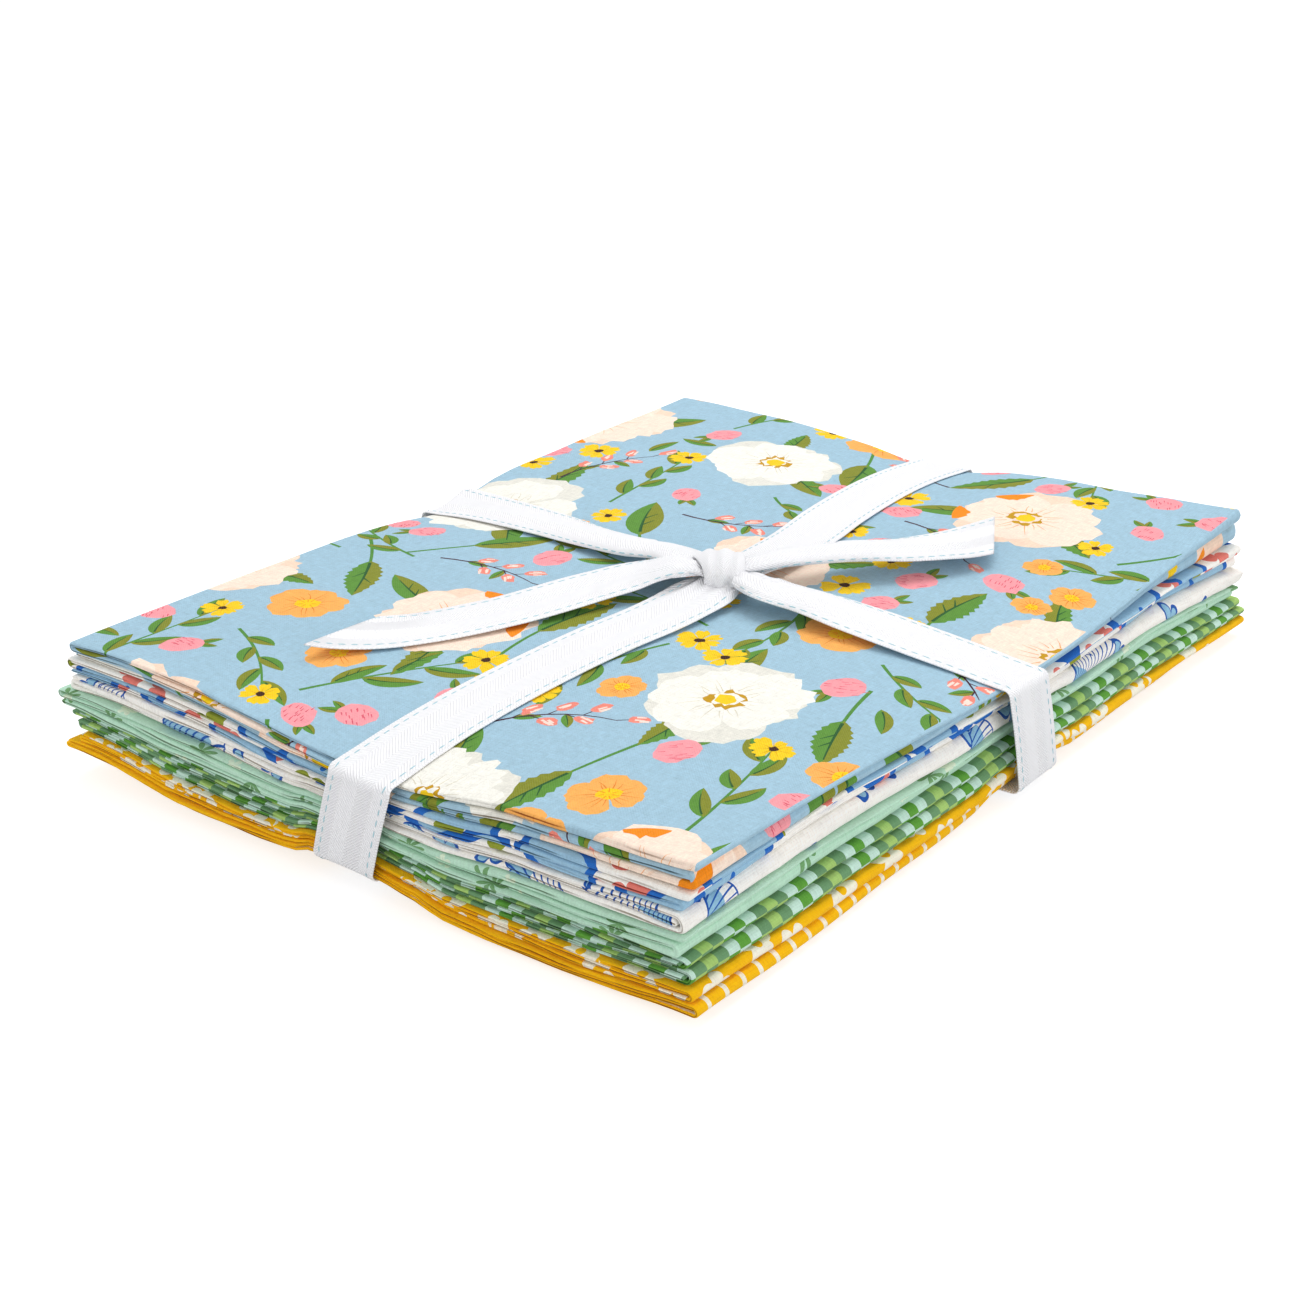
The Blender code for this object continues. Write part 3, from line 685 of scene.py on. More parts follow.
# Yellow cotton with small white blossoms
# The second cut from below, folded and pressed like the first. White five-petalled blossoms with
# yellow hearts and loose white leaves are strewn over its yellow ground.
BLOSSOM_SPACING = 0.0155
BLOSSOM_REACH = 0.0058
BLOSSOM_WHITE = (253, 247, 228)


def white_blossoms(recipe, place):
    """White blossoms and leaves on yellow."""
    blossom = recipe.use(MOTIFS, Place=place, Spacing=BLOSSOM_SPACING, Reach=BLOSSOM_REACH, Petals=5.0,
                         Cleft=0.42)
    leaves = recipe.use(MOTIFS, Place=place, Spacing=0.0125, Reach=0.0034, Petals=2.0, Cleft=0.85, Shift=7.3)
    heart = recipe.math("LESS_THAN", blossom["Away"], 0.24)
    petal = recipe.math("SUBTRACT", blossom["Inside"], heart)
    clear = recipe.math("GREATER_THAN", blossom["Away"], 1.15)
    white = recipe.math("MAXIMUM", petal, recipe.math("MULTIPLY", leaves["Inside"], clear))
    return recipe.mix(white, YELLOW, BLOSSOM_WHITE)


yellow_floral = FoldedCut(0.100, "roll", (-0.0020, 0.0040), (-0.0010, -0.0020), (0.0010, 0.0030))
piece = sheet_piece("cut_yellow_floral", yellow_floral)
lay_cut(piece, yellow_floral, white_blossoms, "cloth_7_yellow_floral", "cotton_yellow_floral")


# Groups of three alternate between mint with green and yellow-green with sage, light and dark in turn,
# as yarn-dyed cloth shows them.
CHECK_SIZES = (0.0048, 0.0042)
MINT_CHECK = (203, 234, 220)
GREEN_CHECK = (98, 163, 62)
LIME_CHECK = (172, 208, 118)
SAGE_CHECK = (112, 156, 112)


def gingham(recipe, place):
    """Light and dark checks in groups of three."""
    counts = [recipe.math("DIVIDE", recipe.math("ADD", part, 9.0), size)
              for part, size in zip(recipe.parts(place), CHECK_SIZES)]
    checks = [recipe.math("FLOOR", count) for count in counts]
    groups = [recipe.math("FLOOR", recipe.math("DIVIDE", count, 3.0)) for count in counts]
    dark = recipe.math("MODULO", recipe.math("ADD", *checks), 2.0)
    second = recipe.math("MODULO", recipe.math("ADD", *groups), 2.0)
    first_pair = recipe.mix(dark, MINT_CHECK, GREEN_CHECK)
    second_pair = recipe.mix(dark, LIME_CHECK, SAGE_CHECK)
    return recipe.mix(second, first_pair, second_pair)


gingham_mint = FoldedCut(0.105, "roll", (-0.0034, 0.0034), (0.0005, -0.0015), (0.0000, 0.0030))
piece = sheet_piece("cut_gingham_mint", gingham_mint)
lay_cut(piece, gingham_mint, gingham, "cloth_6_gingham", "cotton_gingham_mint")

gingham_sage = FoldedCut(0.100, "roll", (-0.0047, 0.0020), (0.0020, 0.0000), (0.0005, 0.0020))
piece = sheet_piece("cut_gingham_sage", gingham_sage)
lay_cut(piece, gingham_sage, gingham, "cloth_5_gingham", "cotton_gingham_sage")


# Mint cotton with small sprigs
# The fourth cut from the top. Its upper layer ends in a free edge over the fold at the right side,
# and its print is a sparse scatter of leafy sprigs in two greens.
MINT = (192, 230, 206)
SPRIG_GREEN = (118, 166, 112)
SPRIG_PALE = (222, 240, 214)


def sprigs(recipe, place):
    """Small leafy sprigs on mint, some of them pale."""
    wide = recipe.use(MOTIFS, Place=place, Spacing=0.0270, Reach=0.0046, Petals=7.0, Cleft=0.90)
    pale = recipe.use(MOTIFS, Place=place, Spacing=0.0230, Reach=0.0028, Petals=5.0, Cleft=0.60, Shift=3.7)
    colour = recipe.mix(pale["Inside"], MINT, SPRIG_PALE)
    return recipe.mix(wide["Inside"], colour, SPRIG_GREEN)


mint_sprig = FoldedCut(0.160, "flap", (-0.0044, 0.0018), (0.0055, 0.0010), (0.0015, 0.0000))
piece = sheet_piece("cut_mint_sprig", mint_sprig)
lay_cut(piece, mint_sprig, sprigs, "cloth_4_mint_sprig", "cotton_mint_sprig")


# White cotton with blue line drawings
# The third cut from the top has leaf and petal shapes drawn in cobalt lines, with pale blue washes
# between hatched strokes, well apart on the white ground.
WHITE = (252, 249, 243)
COBALT = (38, 92, 178)
WASH_BLUE = (150, 197, 224)


def line_drawings(recipe, place):
    """Hatched and outlined shapes on white."""
    big = recipe.use(MOTIFS, Place=place, Spacing=0.0430, Reach=0.0150, Petals=4.0, Cleft=0.45)
    small = recipe.use(MOTIFS, Place=place, Spacing=0.0270, Reach=0.0050, Petals=3.0, Cleft=0.70, Shift=5.1)
    sideways = recipe.math("MULTIPLY", big["Away"], recipe.math("COSINE", big["Angle"]))
    bowed = recipe.math("MULTIPLY_ADD", recipe.math("MULTIPLY", big["Away"], big["Away"]), 0.35, sideways)
    hatch = recipe.math("LESS_THAN", recipe.math("FRACT", recipe.math("MULTIPLY", bowed, 8.0)), 0.26)
    rim = recipe.math("GREATER_THAN", recipe.math("SUBTRACT", big["Away"], big["Outline"]), -0.05)
    washed = recipe.math("GREATER_THAN", recipe.math("SINE", big["Angle"]), -0.1)
    drawn = recipe.mix(recipe.math("MAXIMUM", hatch, rim), recipe.mix(washed, WHITE, WASH_BLUE), COBALT)
    small_rim = recipe.math("GREATER_THAN", recipe.math("SUBTRACT", small["Away"], small["Outline"]), -0.22)
    colour = recipe.mix(small["Inside"], WHITE, recipe.mix(small_rim, WASH_BLUE, COBALT))
    return recipe.mix(big["Inside"], colour, drawn)


line_print = FoldedCut(0.140, "roll", (-0.0052, 0.0022), (0.0010, 0.0000), (0.0000, 0.0020))
piece = sheet_piece("cut_white_line_print", line_print)
lay_cut(piece, line_print, line_drawings, "cloth_3_white_line_print", "cotton_white_line_print")


# White cotton with a bold blue print
# The second cut from the top has broad cobalt bands round pale blue shapes, with a few small coral
# and green leaves between them. Like the top cut it ends in a free edge at the right side.
BRIGHT_BLUE = (38, 108, 196)
SOFT_BLUE = (156, 196, 222)
LEAF_GREEN = (150, 160, 52)
SOFT_CORAL = (232, 128, 116)


def bold_shapes(recipe, place):
    """Broad outlined shapes with leaves between them."""
    big = recipe.use(MOTIFS, Place=place, Spacing=0.0360, Reach=0.0165, Petals=3.0, Cleft=0.30, Shift=2.2)
    leaves = recipe.use(MOTIFS, Place=place, Spacing=0.0180, Reach=0.0062, Petals=2.0, Cleft=0.82, Shift=6.4)
    band = recipe.math("GREATER_THAN", recipe.math("SUBTRACT", big["Away"], big["Outline"]), -0.18)
    middle = recipe.math("LESS_THAN", recipe.math("PINGPONG", big["Away"], 0.42), 0.06)
    shape = recipe.mix(recipe.math("MAXIMUM", band, middle), SOFT_BLUE, BRIGHT_BLUE)
    leaf = recipe.mix(recipe.math("GREATER_THAN", leaves["Chance"], 0.5), LEAF_GREEN, SOFT_CORAL)
    colour = recipe.mix(leaves["Inside"], WHITE, leaf)
    return recipe.mix(big["Inside"], colour, shape)


blue_print = FoldedCut(0.145, "flap", (-0.0036, 0.0015), (0.0015, 0.0010), (0.0000, 0.0010))
piece = sheet_piece("cut_white_blue_print", blue_print)
lay_cut(piece, blue_print, bold_shapes, "cloth_2_white_blue_print", "cotton_white_blue_print")


# Blue cotton with scattered flowers, the top cut
# Its topmost layer stands off the others along the front. The print is a generic garden of flowers
# in the colours and sizes of the photograph's, laid out by chance, and is inlaid in the sheet's faces.
FLOWER_SPACING = 0.092
PRINT_SEED = 24
PRINT_MARGIN = 0.0008
TILE_LINES = 8
CLOSE_LINES = 0.0011
SEEN_MARGIN = 0.004
FOLD_MARGINS = (0.006, 0.010)

# How many of each motif are tried for on a square metre, and the circles (place along the motif,
# radius) that keep it clear of the others
CUP_FLOWERS = (120, ((0.0, 0.0105),))
RASPBERRIES = (150, ((0.0, 0.0072),))
BERRY_SPRIGS = (120, ((-0.013, 0.0075), (0.0, 0.0085), (0.013, 0.0075)))
LEAFY_SPRIGS = (300, ((-0.018, 0.0062), (-0.006, 0.0062), (0.006, 0.0062), (0.020, 0.0062)))
BROAD_LEAVES = (260, ((-0.012, 0.003), (0.002, 0.0055), (0.014, 0.0050)))
SMALL_MOTIFS = (700, ((0.0, 0.0066),))
SCATTER_TRIES = 3000

# Least and greatest radius or length of each motif
ROSE_SIZES = (0.0205, 0.0265)
CUP_SIZES = (0.0090, 0.0125)
RASPBERRY_SIZES = (0.0058, 0.0072)
BERRY_SPRIG_LENGTH = 0.038
LEAFY_SPRIG_LENGTHS = (0.042, 0.052)
BROAD_LEAF_LENGTHS = (0.040, 0.052)
DAISY_SIZES = (0.0060, 0.0078)
SMALL_RASPBERRY_SIZES = (0.0055, 0.0068)
SMALL_CUP_SIZES = (0.0055, 0.0072)

PAINTS = {
    "sky": (163, 197, 216),
    "cream": (247, 245, 236),
    "cream_shade": (232, 230, 220),
    "peach": (254, 231, 213),
    "peach_shade": (250, 219, 196),
    "orange": (247, 143, 22),
    "apricot": (250, 178, 92),
    "rust": (232, 128, 40),
    "tan": (238, 172, 112),
    "cream_line": (222, 216, 196),
    "gold": (199, 152, 24),
    "sun": (249, 207, 26),
    "sun_shade": (228, 176, 16),
    "brown": (66, 38, 22),
    "pink": (250, 160, 168),
    "rose": (226, 92, 112),
    "coral": (243, 140, 124),
    "blush": (252, 224, 212),
    "maroon": (70, 34, 56),
    "leaf": (94, 146, 58),
    "olive": (134, 140, 44),
    "pine": (42, 92, 46),
    "stem": (84, 142, 62),
}


class FlowerPrint:
    """Painted shapes on the flat cloth: each has a layer, a paint and points in metres."""

    def __init__(self, seed):
        self.chance = np.random.default_rng(seed)
        self.shapes = []

    def paint(self, layer, paint, points):
        self.shapes.append((layer, paint, np.asarray(points)))

    def line(self, layer, paint, points, width, tip=0.35):
        """A brush line that thins towards its last point."""
        points = np.asarray(points)
        ahead = np.gradient(points, axis=0)
        ahead /= np.linalg.norm(ahead, axis=1, keepdims=True) + 1e-12
        aside = np.stack([-ahead[:, 1], ahead[:, 0]], 1)
        half = width / 2 * np.linspace(1.0, tip, len(points))[:, None]
        self.paint(layer, paint, np.concatenate([points + aside * half, (points - aside * half)[::-1]]))

    def leaf(self, root, turn, length, width, bend, toothed=False):
        """A leaf in two greens with a dark midrib; root is where it grows from."""
        share = np.linspace(0.0, 1.0, 19 if toothed else 11)
        spine = along_arc(root, turn, length, bend, share)
        ahead = np.gradient(spine, axis=0)
        ahead /= np.linalg.norm(ahead, axis=1, keepdims=True)
        aside = np.stack([-ahead[:, 1], ahead[:, 0]], 1)
        half = width / 2 * (np.sin(math.pi * share ** 0.85) ** 0.8)[:, None]
        if toothed:
            half = half * (1 - 0.20 * (np.arange(len(share)) % 2))[:, None]
        left, right = ("leaf", "olive") if self.chance.random() < 0.5 else ("olive", "leaf")
        self.paint(1, left, np.concatenate([spine, (spine + aside * half)[::-1]]))
        self.paint(1, right, np.concatenate([spine, (spine - aside * half * 0.9)[::-1]]))
        self.line(2, "pine", spine[1:-2], width * 0.07 + 0.0002)
        for at in (0.35, 0.55) if length > 0.018 else ():
            index = int(at * (len(share) - 1))
            side = 1 if self.chance.random() < 0.5 else -1
            tip = spine[index] + ahead[index] * length * 0.14 + side * aside[index] * half[index] * 0.6
            self.line(2, "pine", [spine[index], (spine[index] + tip) / 2, tip], width * 0.05 + 0.0001)

    def petals(self, layer, paints, middle, size, turn, count, cleft, spread, ragged):
        """A ring of petals about middle, each with its own outline."""
        step = 2 * math.pi / count
        for number in range(count):
            lie = turn + step * (number + 0.10 * self.chance.standard_normal())
            grown = size * (1 + 0.07 * self.chance.standard_normal())
            across = np.linspace(-1.0, 1.0, 13)
            rim = grown * (1 - 0.30 * np.abs(across) ** 2.6 - cleft * np.exp(-((across / 0.22) ** 2)))
            rim = rim * (1 + ragged * self.chance.standard_normal(13))
            angles = lie + across * step / 2 * spread
            points = middle + np.stack([np.cos(angles), np.sin(angles)], 1) * rim[:, None]
            self.paint(layer, paints[number % len(paints)], np.concatenate([points, [middle]]))

    def streaks(self, layer, paint, middle, first, last, turn, count, width):
        """Fine brush lines that run outwards from a flower's heart."""
        for number in range(count):
            angle = turn + 2 * math.pi * (number + 0.5 * self.chance.random()) / count
            start = first * (1 + 0.12 * self.chance.standard_normal())
            stop = last * self.chance.uniform(0.65, 1.05)
            bow = 0.10 * self.chance.standard_normal()
            angles = angle + bow * np.array([0.0, 0.4, 1.0])
            radii = np.array([start, (start + stop) / 2, stop])
            points = middle + np.stack([np.cos(angles) * radii, np.sin(angles) * radii], 1)
            self.line(layer, paint, points, width, 0.2)

    def blot(self, layer, paint, middle, radius, ragged, count=14, squash=1.0, turn=0.0):
        """A small ragged disc."""
        angles = np.linspace(0, 2 * math.pi, count, endpoint=False)
        radii = radius * (1 + ragged * self.chance.standard_normal(count))
        spots = np.stack([np.cos(angles) * radii, np.sin(angles) * radii * squash], 1)
        self.paint(layer, paint, np.asarray(middle) + spots @ turned(turn).T)

    def wild_rose(self, middle, size, turn, warm):
        """A broad open flower of five or six petals, 41 to 53 mm across."""
        fills = ("peach", "peach_shade") if warm else ("cream", "cream_shade")
        lines = "tan" if warm else "cream_line"
        count = 5 + int(self.chance.random() < 0.4)
        for number in range(2):
            root = middle + 0.6 * size * unit(turn + 2.4 * number)
            heading = turn + 2.4 * number + self.chance.uniform(-0.4, 0.4)
            self.leaf(root, heading, size * self.chance.uniform(0.9, 1.25), size * 0.42,
                      self.chance.uniform(-0.6, 0.6), toothed=number != 1)
        self.petals(3, fills[1:], middle, size * 1.03, turn + 0.5, count, 0.05, 1.25, 0.035)
        self.petals(4, fills[:1], middle, size, turn, count, 0.08, 1.14, 0.035)
        if warm:
            for number in self.chance.permutation(count)[:2]:
                lie = turn + 2 * math.pi * number / count
                angles = lie + np.linspace(-0.34, 0.22, 9)
                ring = np.stack([np.cos(angles), np.sin(angles)], 1)
                deep = 0.03 + 0.20 * np.sin(np.linspace(0.2, math.pi, 9)) ** 0.8
                inner = size * (1.0 - deep * (1 + 0.15 * self.chance.standard_normal(9)))
                outline = np.concatenate([ring * size, (ring * inner[:, None])[::-1]])
                self.paint(5, "orange", middle + outline)
        self.streaks(5, lines, middle, size * 0.27, size * 0.60, turn, 20, 0.00042)
        self.blot(6, "gold", middle, size * 0.24, 0.16, 26)
        self.blot(7, "blush" if warm else "cream", middle, size * 0.185, 0.18, 18)
        self.blot(8, "sun", middle, size * 0.135, 0.10, 14)

    def cup_flower(self, middle, size, turn):
        """An apricot flower of five rounded petals, 11 to 25 mm across."""
        self.petals(3, ("apricot",), middle, size, turn, 5, 0.06, 1.22, 0.02)
        self.streaks(4, "rust", middle, size * 0.25, size * 0.82, turn, 15, 0.0004)
        self.blot(5, "sun", middle, size * 0.30, 0.10, 14)
        self.streaks(6, "orange", middle, size * 0.10, size * 0.36, turn, 7, 0.0004)

    def daisy(self, middle, size, turn):
        """A small yellow flower with a dark heart, 11 to 16 mm across."""
        self.petals(3, ("sun",), middle, size, turn, 7, 0.10, 0.98, 0.03)
        self.streaks(4, "sun_shade", middle, size * 0.2, size * 0.75, turn, 9, 0.0004)
        self.blot(5, "brown", middle, size * 0.22, 0.12, 10)

    def raspberry(self, middle, size, turn):
        """A pink clover head with darker strokes."""
        self.blot(3, "pink", middle, size, 0.05, 16, 0.82, turn)
        for _ in range(16):
            angle = self.chance.uniform(0, 2 * math.pi)
            away = size * math.sqrt(self.chance.uniform(0.02, 0.66))
            spot = middle + away * unit(angle) * np.array([1.0, 0.8])
            self.line(4, "rose", [spot, spot + size * 0.28 * unit(turn + 0.8)], 0.0004, 0.4)
        self.leaf(middle - size * 0.7 * unit(turn), turn + 2.6, size * 1.2, size * 0.5, 0.4)
        self.leaf(middle - size * 0.7 * unit(turn), turn - 2.5, size * 1.0, size * 0.45, -0.4)

    def broad_leaf(self, middle, turn, length):
        """One long leaf in two greens on a curved stem."""
        bend = self.chance.uniform(-0.9, 0.9)
        root = middle - 0.5 * length * unit(turn)
        stem = along_arc(root, turn - bend / 2, length * 0.55, bend / 2, np.linspace(0, 1, 8))
        self.line(0, "stem", stem, 0.0012, 0.8)
        self.leaf(stem[-2], turn, length * 0.60, length * 0.25, bend / 2, toothed=self.chance.random() < 0.5)

    def berry_sprig(self, middle, turn, length):
        """Pale coral buds on a dark twig."""
        bend = self.chance.uniform(-1.0, 1.0)
        root = middle - 0.5 * length * unit(turn)
        spine = along_arc(root, turn - bend / 2, length, bend, np.linspace(0, 1, 9))
        self.line(2, "maroon", spine, 0.0009, 0.4)
        for number in range(6):
            at = spine[2 + number] if number < 5 else spine[-1]
            side = turn + (0.7 if number % 2 else -0.7) * (number < 5)
            out = at + length * 0.10 * unit(side)
            self.line(2, "maroon", [at, (at + out) / 2, out], 0.0005, 0.7)
            self.blot(3, "coral", out + 0.0026 * unit(side), 0.0034, 0.12, 12, 0.58, side)
            for _ in range(4):
                spot = out + 0.0018 * unit(side) + 0.0014 * self.chance.uniform(-1, 1, 2)
                self.line(4, "blush", [spot, spot + 0.0026 * unit(side + 0.2)], 0.0009, 0.6)
            if number in (0, 3):
                self.leaf(at, side + 0.6, length * 0.22, length * 0.09, 0.3)

    def leafy_sprig(self, middle, turn, length, flower):
        """A curved stem with leaves on both sides and a small flower at its tip."""
        bend = self.chance.uniform(-0.9, 0.9)
        root = middle - 0.5 * length * unit(turn)
        spine = along_arc(root, turn - bend / 2, length, bend, np.linspace(0, 1, 13))
        self.line(0, "stem", spine, 0.0011, 0.5)
        for number, at in enumerate((2, 4, 6, 8, 10)):
            heading = math.atan2(*(spine[at + 1] - spine[at])[::-1])
            side = 1 if number % 2 else -1
            self.leaf(spine[at], heading + side * self.chance.uniform(0.5, 0.9),
                      length * self.chance.uniform(0.22, 0.36), length * 0.118, -0.5 * side)
        if flower:
            flower(spine[-1], length * 0.13, turn)


def unit(angle):
    return np.array([math.cos(angle), math.sin(angle)])


def turned(angle):
    return np.array([[math.cos(angle), -math.sin(angle)], [math.sin(angle), math.cos(angle)]])


def along_arc(root, turn, length, bend, share):
    """Points along a curve that starts at root and turns by bend over its length."""
    steps = turn + bend * share
    ahead = np.stack([np.cos(steps), np.sin(steps)], 1) * length / (len(share) - 1)
    return np.asarray(root) + np.concatenate([[[0.0, 0.0]], np.cumsum(ahead[1:], axis=0)])


def scatter(chance, motif, blocked, cut):
    """Places and turns for motifs of one kind, whose circles stay clear of the blocked and join them."""
    wanted = int(cut.length * 2 * cut.reach * motif[0])
    circles = np.array(motif[1])
    found = []
    for _ in range(SCATTER_TRIES):
        if len(found) >= wanted:
            break
        spot = np.array([chance.uniform(0, cut.length), chance.uniform(-cut.reach, cut.reach)])
        turn = chance.uniform(0, 2 * math.pi)
        own = spot + circles[:, :1] * unit(turn)
        taken = np.array(blocked)
        away = np.hypot(own[:, :1] - taken[:, 0], own[:, 1:] - taken[:, 1])
        if np.all(away > circles[:, 1:] + taken[:, 2]):
            blocked.extend((x, y, size) for (x, y), size in zip(own, circles[:, 1]))
            found.append((spot, turn))
    return found


def paint_garden(cut):
    """The print's shapes over the whole flat cloth."""
    garden = FlowerPrint(PRINT_SEED)
    chance = garden.chance
    blocked = []
    columns, rows = int(cut.length / FLOWER_SPACING) + 2, int(2 * cut.reach / FLOWER_SPACING) + 2
    for column in range(columns):
        for row in range(rows):
            nudge = chance.uniform(-0.012, 0.012, 2)
            across = (column + 0.5 * (row % 2)) * FLOWER_SPACING + 0.004
            middle = np.array([across, (row - rows / 2) * FLOWER_SPACING * 0.9 + 0.012]) + nudge
            size = chance.uniform(*ROSE_SIZES)
            garden.wild_rose(middle, size, chance.uniform(0, 6.28), (column + row) % 3 != 0)
            blocked.append((*middle, size * 1.02))
    for spot, turn in scatter(chance, CUP_FLOWERS, blocked, cut):
        garden.cup_flower(spot, chance.uniform(*CUP_SIZES), turn)
    for spot, turn in scatter(chance, RASPBERRIES, blocked, cut):
        garden.raspberry(spot, chance.uniform(*RASPBERRY_SIZES), turn)
    for spot, turn in scatter(chance, BERRY_SPRIGS, blocked, cut):
        garden.berry_sprig(spot, turn, BERRY_SPRIG_LENGTH)
    for spot, turn in scatter(chance, LEAFY_SPRIGS, blocked, cut):
        flower = garden.daisy if chance.random() < 0.75 else garden.cup_flower
        garden.leafy_sprig(spot, turn, chance.uniform(*LEAFY_SPRIG_LENGTHS), flower)
    for spot, turn in scatter(chance, BROAD_LEAVES, blocked, cut):
        garden.broad_leaf(spot, turn, chance.uniform(*BROAD_LEAF_LENGTHS))
    for spot, turn in scatter(chance, SMALL_MOTIFS, blocked, cut):
        kind = chance.random()
        if kind < 0.45:
            garden.daisy(spot, chance.uniform(*DAISY_SIZES), turn)
        elif kind < 0.68:
            garden.raspberry(spot, chance.uniform(*SMALL_RASPBERRY_SIZES), turn)
        elif kind < 0.80:
            garden.cup_flower(spot, chance.uniform(*SMALL_CUP_SIZES), turn)
        else:
            garden.leaf(spot - 0.007 * unit(turn), turn, 0.015, 0.0052, 0.5)
    return [garden.shapes[number] for number in np.argsort([s[0] for s in garden.shapes], kind="stable")]


def shows(cut, points):
    """Whether part of a painted shape may be seen: on the top, at a fold or at the layers' ends."""
    u, v = points[:, 0], np.abs(points[:, 1])
    seen = (u < cut.path[0][cut.marks[0]] + SEEN_MARGIN) & (v < cut.flat + cut.cap + SEEN_MARGIN)
    seen |= np.abs(v - cut.flat - cut.cap / 2) < SEEN_MARGIN
    for number, margin in zip((1, 3), FOLD_MARGINS):
        seen |= np.abs(u - cut.path[0][sum(cut.marks[:number])]) < margin
    return bool(np.any(seen))


def tile_of_print(cut, along, across, shapes):
    """Flat points, faces and topmost shapes of one tile of the print between two rows of sheet lines."""
    u, v = np.meshgrid(along, across, indexing="ij")
    number = np.arange(u.size).reshape(u.shape)
    keep_u = np.append(np.diff(along) < CLOSE_LINES, True)
    keep_v = np.append(np.diff(across) < CLOSE_LINES, True)
    keep_u[0] = keep_v[0] = True
    lines = np.stack([number[keep_u][:, :-1].ravel(), number[keep_u][:, 1:].ravel()], 1).tolist()
    lines += np.stack([number[:-1, keep_v].ravel(), number[1:, keep_v].ravel()], 1).tolist()
    spots, count = [np.stack([u.ravel(), v.ravel()], 1)], u.size
    for _, points in shapes:
        ends = list(range(count, count + len(points)))
        lines += list(zip(ends, ends[1:] + ends[:1]))
        spots.append(points)
        count += len(points)
    flat = np.concatenate(spots).tolist()
    made = delaunay_2d_cdt([Vector(spot) for spot in flat], lines, [], 0, 1e-8)
    flat = np.array([tuple(spot) for spot in made[0]])
    faces = np.array(made[2])
    middle = flat[faces].mean(axis=1)
    inside = (middle[:, 0] > along[0]) & (middle[:, 0] < along[-1])
    inside &= (middle[:, 1] > across[0]) & (middle[:, 1] < across[-1])
    faces, middle = faces[inside], middle[inside]
    chosen = np.full(len(faces), -1)
    for index, points in shapes:
        chosen[covered(middle, points)] = index
    return flat, faces, chosen


def covered(spots, outline):
    """Which spots lie inside an outline."""
    x, y = spots.T
    crossings = np.zeros(len(spots), int)
    for (x0, y0), (x1, y1) in zip(outline, np.roll(outline, -1, axis=0)):
        spans = (y0 > y) != (y1 > y)
        at = x0 + (y - y0) * (x1 - x0) / (y1 - y0 if y1 != y0 else 1.0)
        crossings += (spans & (x < at)) * (1 if y1 > y0 else -1)
    return crossings != 0


def printed_piece(name, cut, shapes):
    """The cut as a closed sheet whose faces follow the print's outlines, each with its paint."""
    along, across = cut.path[0], lines_round(cut)
    low = np.array([PRINT_MARGIN, PRINT_MARGIN - cut.reach])
    high = np.array([cut.length - PRINT_MARGIN, cut.reach - PRINT_MARGIN])
    table, kept = [linear(PAINTS["sky"])], []
    for _, paint, points in shapes:
        inside = np.clip(points, low, high)
        x, y = inside.T
        area = abs(np.sum(x * np.roll(y, -1) - y * np.roll(x, -1))) / 2
        if area > 1e-8 and shows(cut, inside):
            kept.append((len(kept), inside))
            table.append(linear(PAINTS[paint]))
    lowest = np.array([points.min(axis=0) for _, points in kept])
    highest = np.array([points.max(axis=0) for _, points in kept])
    flat, faces, chosen, count = [], [], [], 0
    for column in range(0, len(along) - 1, TILE_LINES):
        some_along = along[column:column + TILE_LINES + 1]
        for row in range(0, len(across) - 1, TILE_LINES):
            some_across = across[row:row + TILE_LINES + 1]
            corner, far = (some_along[0], some_across[0]), (some_along[-1], some_across[-1])
            meets = np.all((highest > corner) & (lowest < far), axis=1)
            nearby = [kept[index] for index in np.flatnonzero(meets)]
            points, tile_faces, tile_chosen = tile_of_print(cut, some_along, some_across, nearby)
            flat.append(points)
            faces.append(tile_faces + count)
            chosen.append(tile_chosen)
            count += len(points)
    flat, faces, chosen = np.concatenate(flat), np.concatenate(faces), np.concatenate(chosen)
    used, faces = np.unique(faces, return_inverse=True)
    flat, faces = flat[used], faces.reshape(-1, 3)
    points = cut.place(flat[:, 0], flat[:, 1])
    return closed_mesh(name, points, faces, flat[faces.ravel()], np.array(table)[chosen + 1])


def inlaid_paint(recipe, place):
    """The faces' own paint, a little washed as brushed colour is."""
    paint = recipe.add("ShaderNodeVertexColor", layer_name="print").outputs["Color"]
    wash = recipe.math("MULTIPLY_ADD", recipe.noise(place, (420.0, 420.0, 0), 4.0), 0.22, 0.89)
    return recipe.mix(1.0, paint, wash, "MULTIPLY")


blue_floral = FoldedCut(0.150, "flap", (-0.0010, 0.0005), (0.0000, 0.0000), (-0.0005, 0.0010))
blue_floral.top_layer_lifts = True
piece = printed_piece("cut_blue_floral", blue_floral, paint_garden(blue_floral))
lay_cut(piece, blue_floral, inlaid_paint, "cloth_1_blue_floral", "cotton_blue_floral")


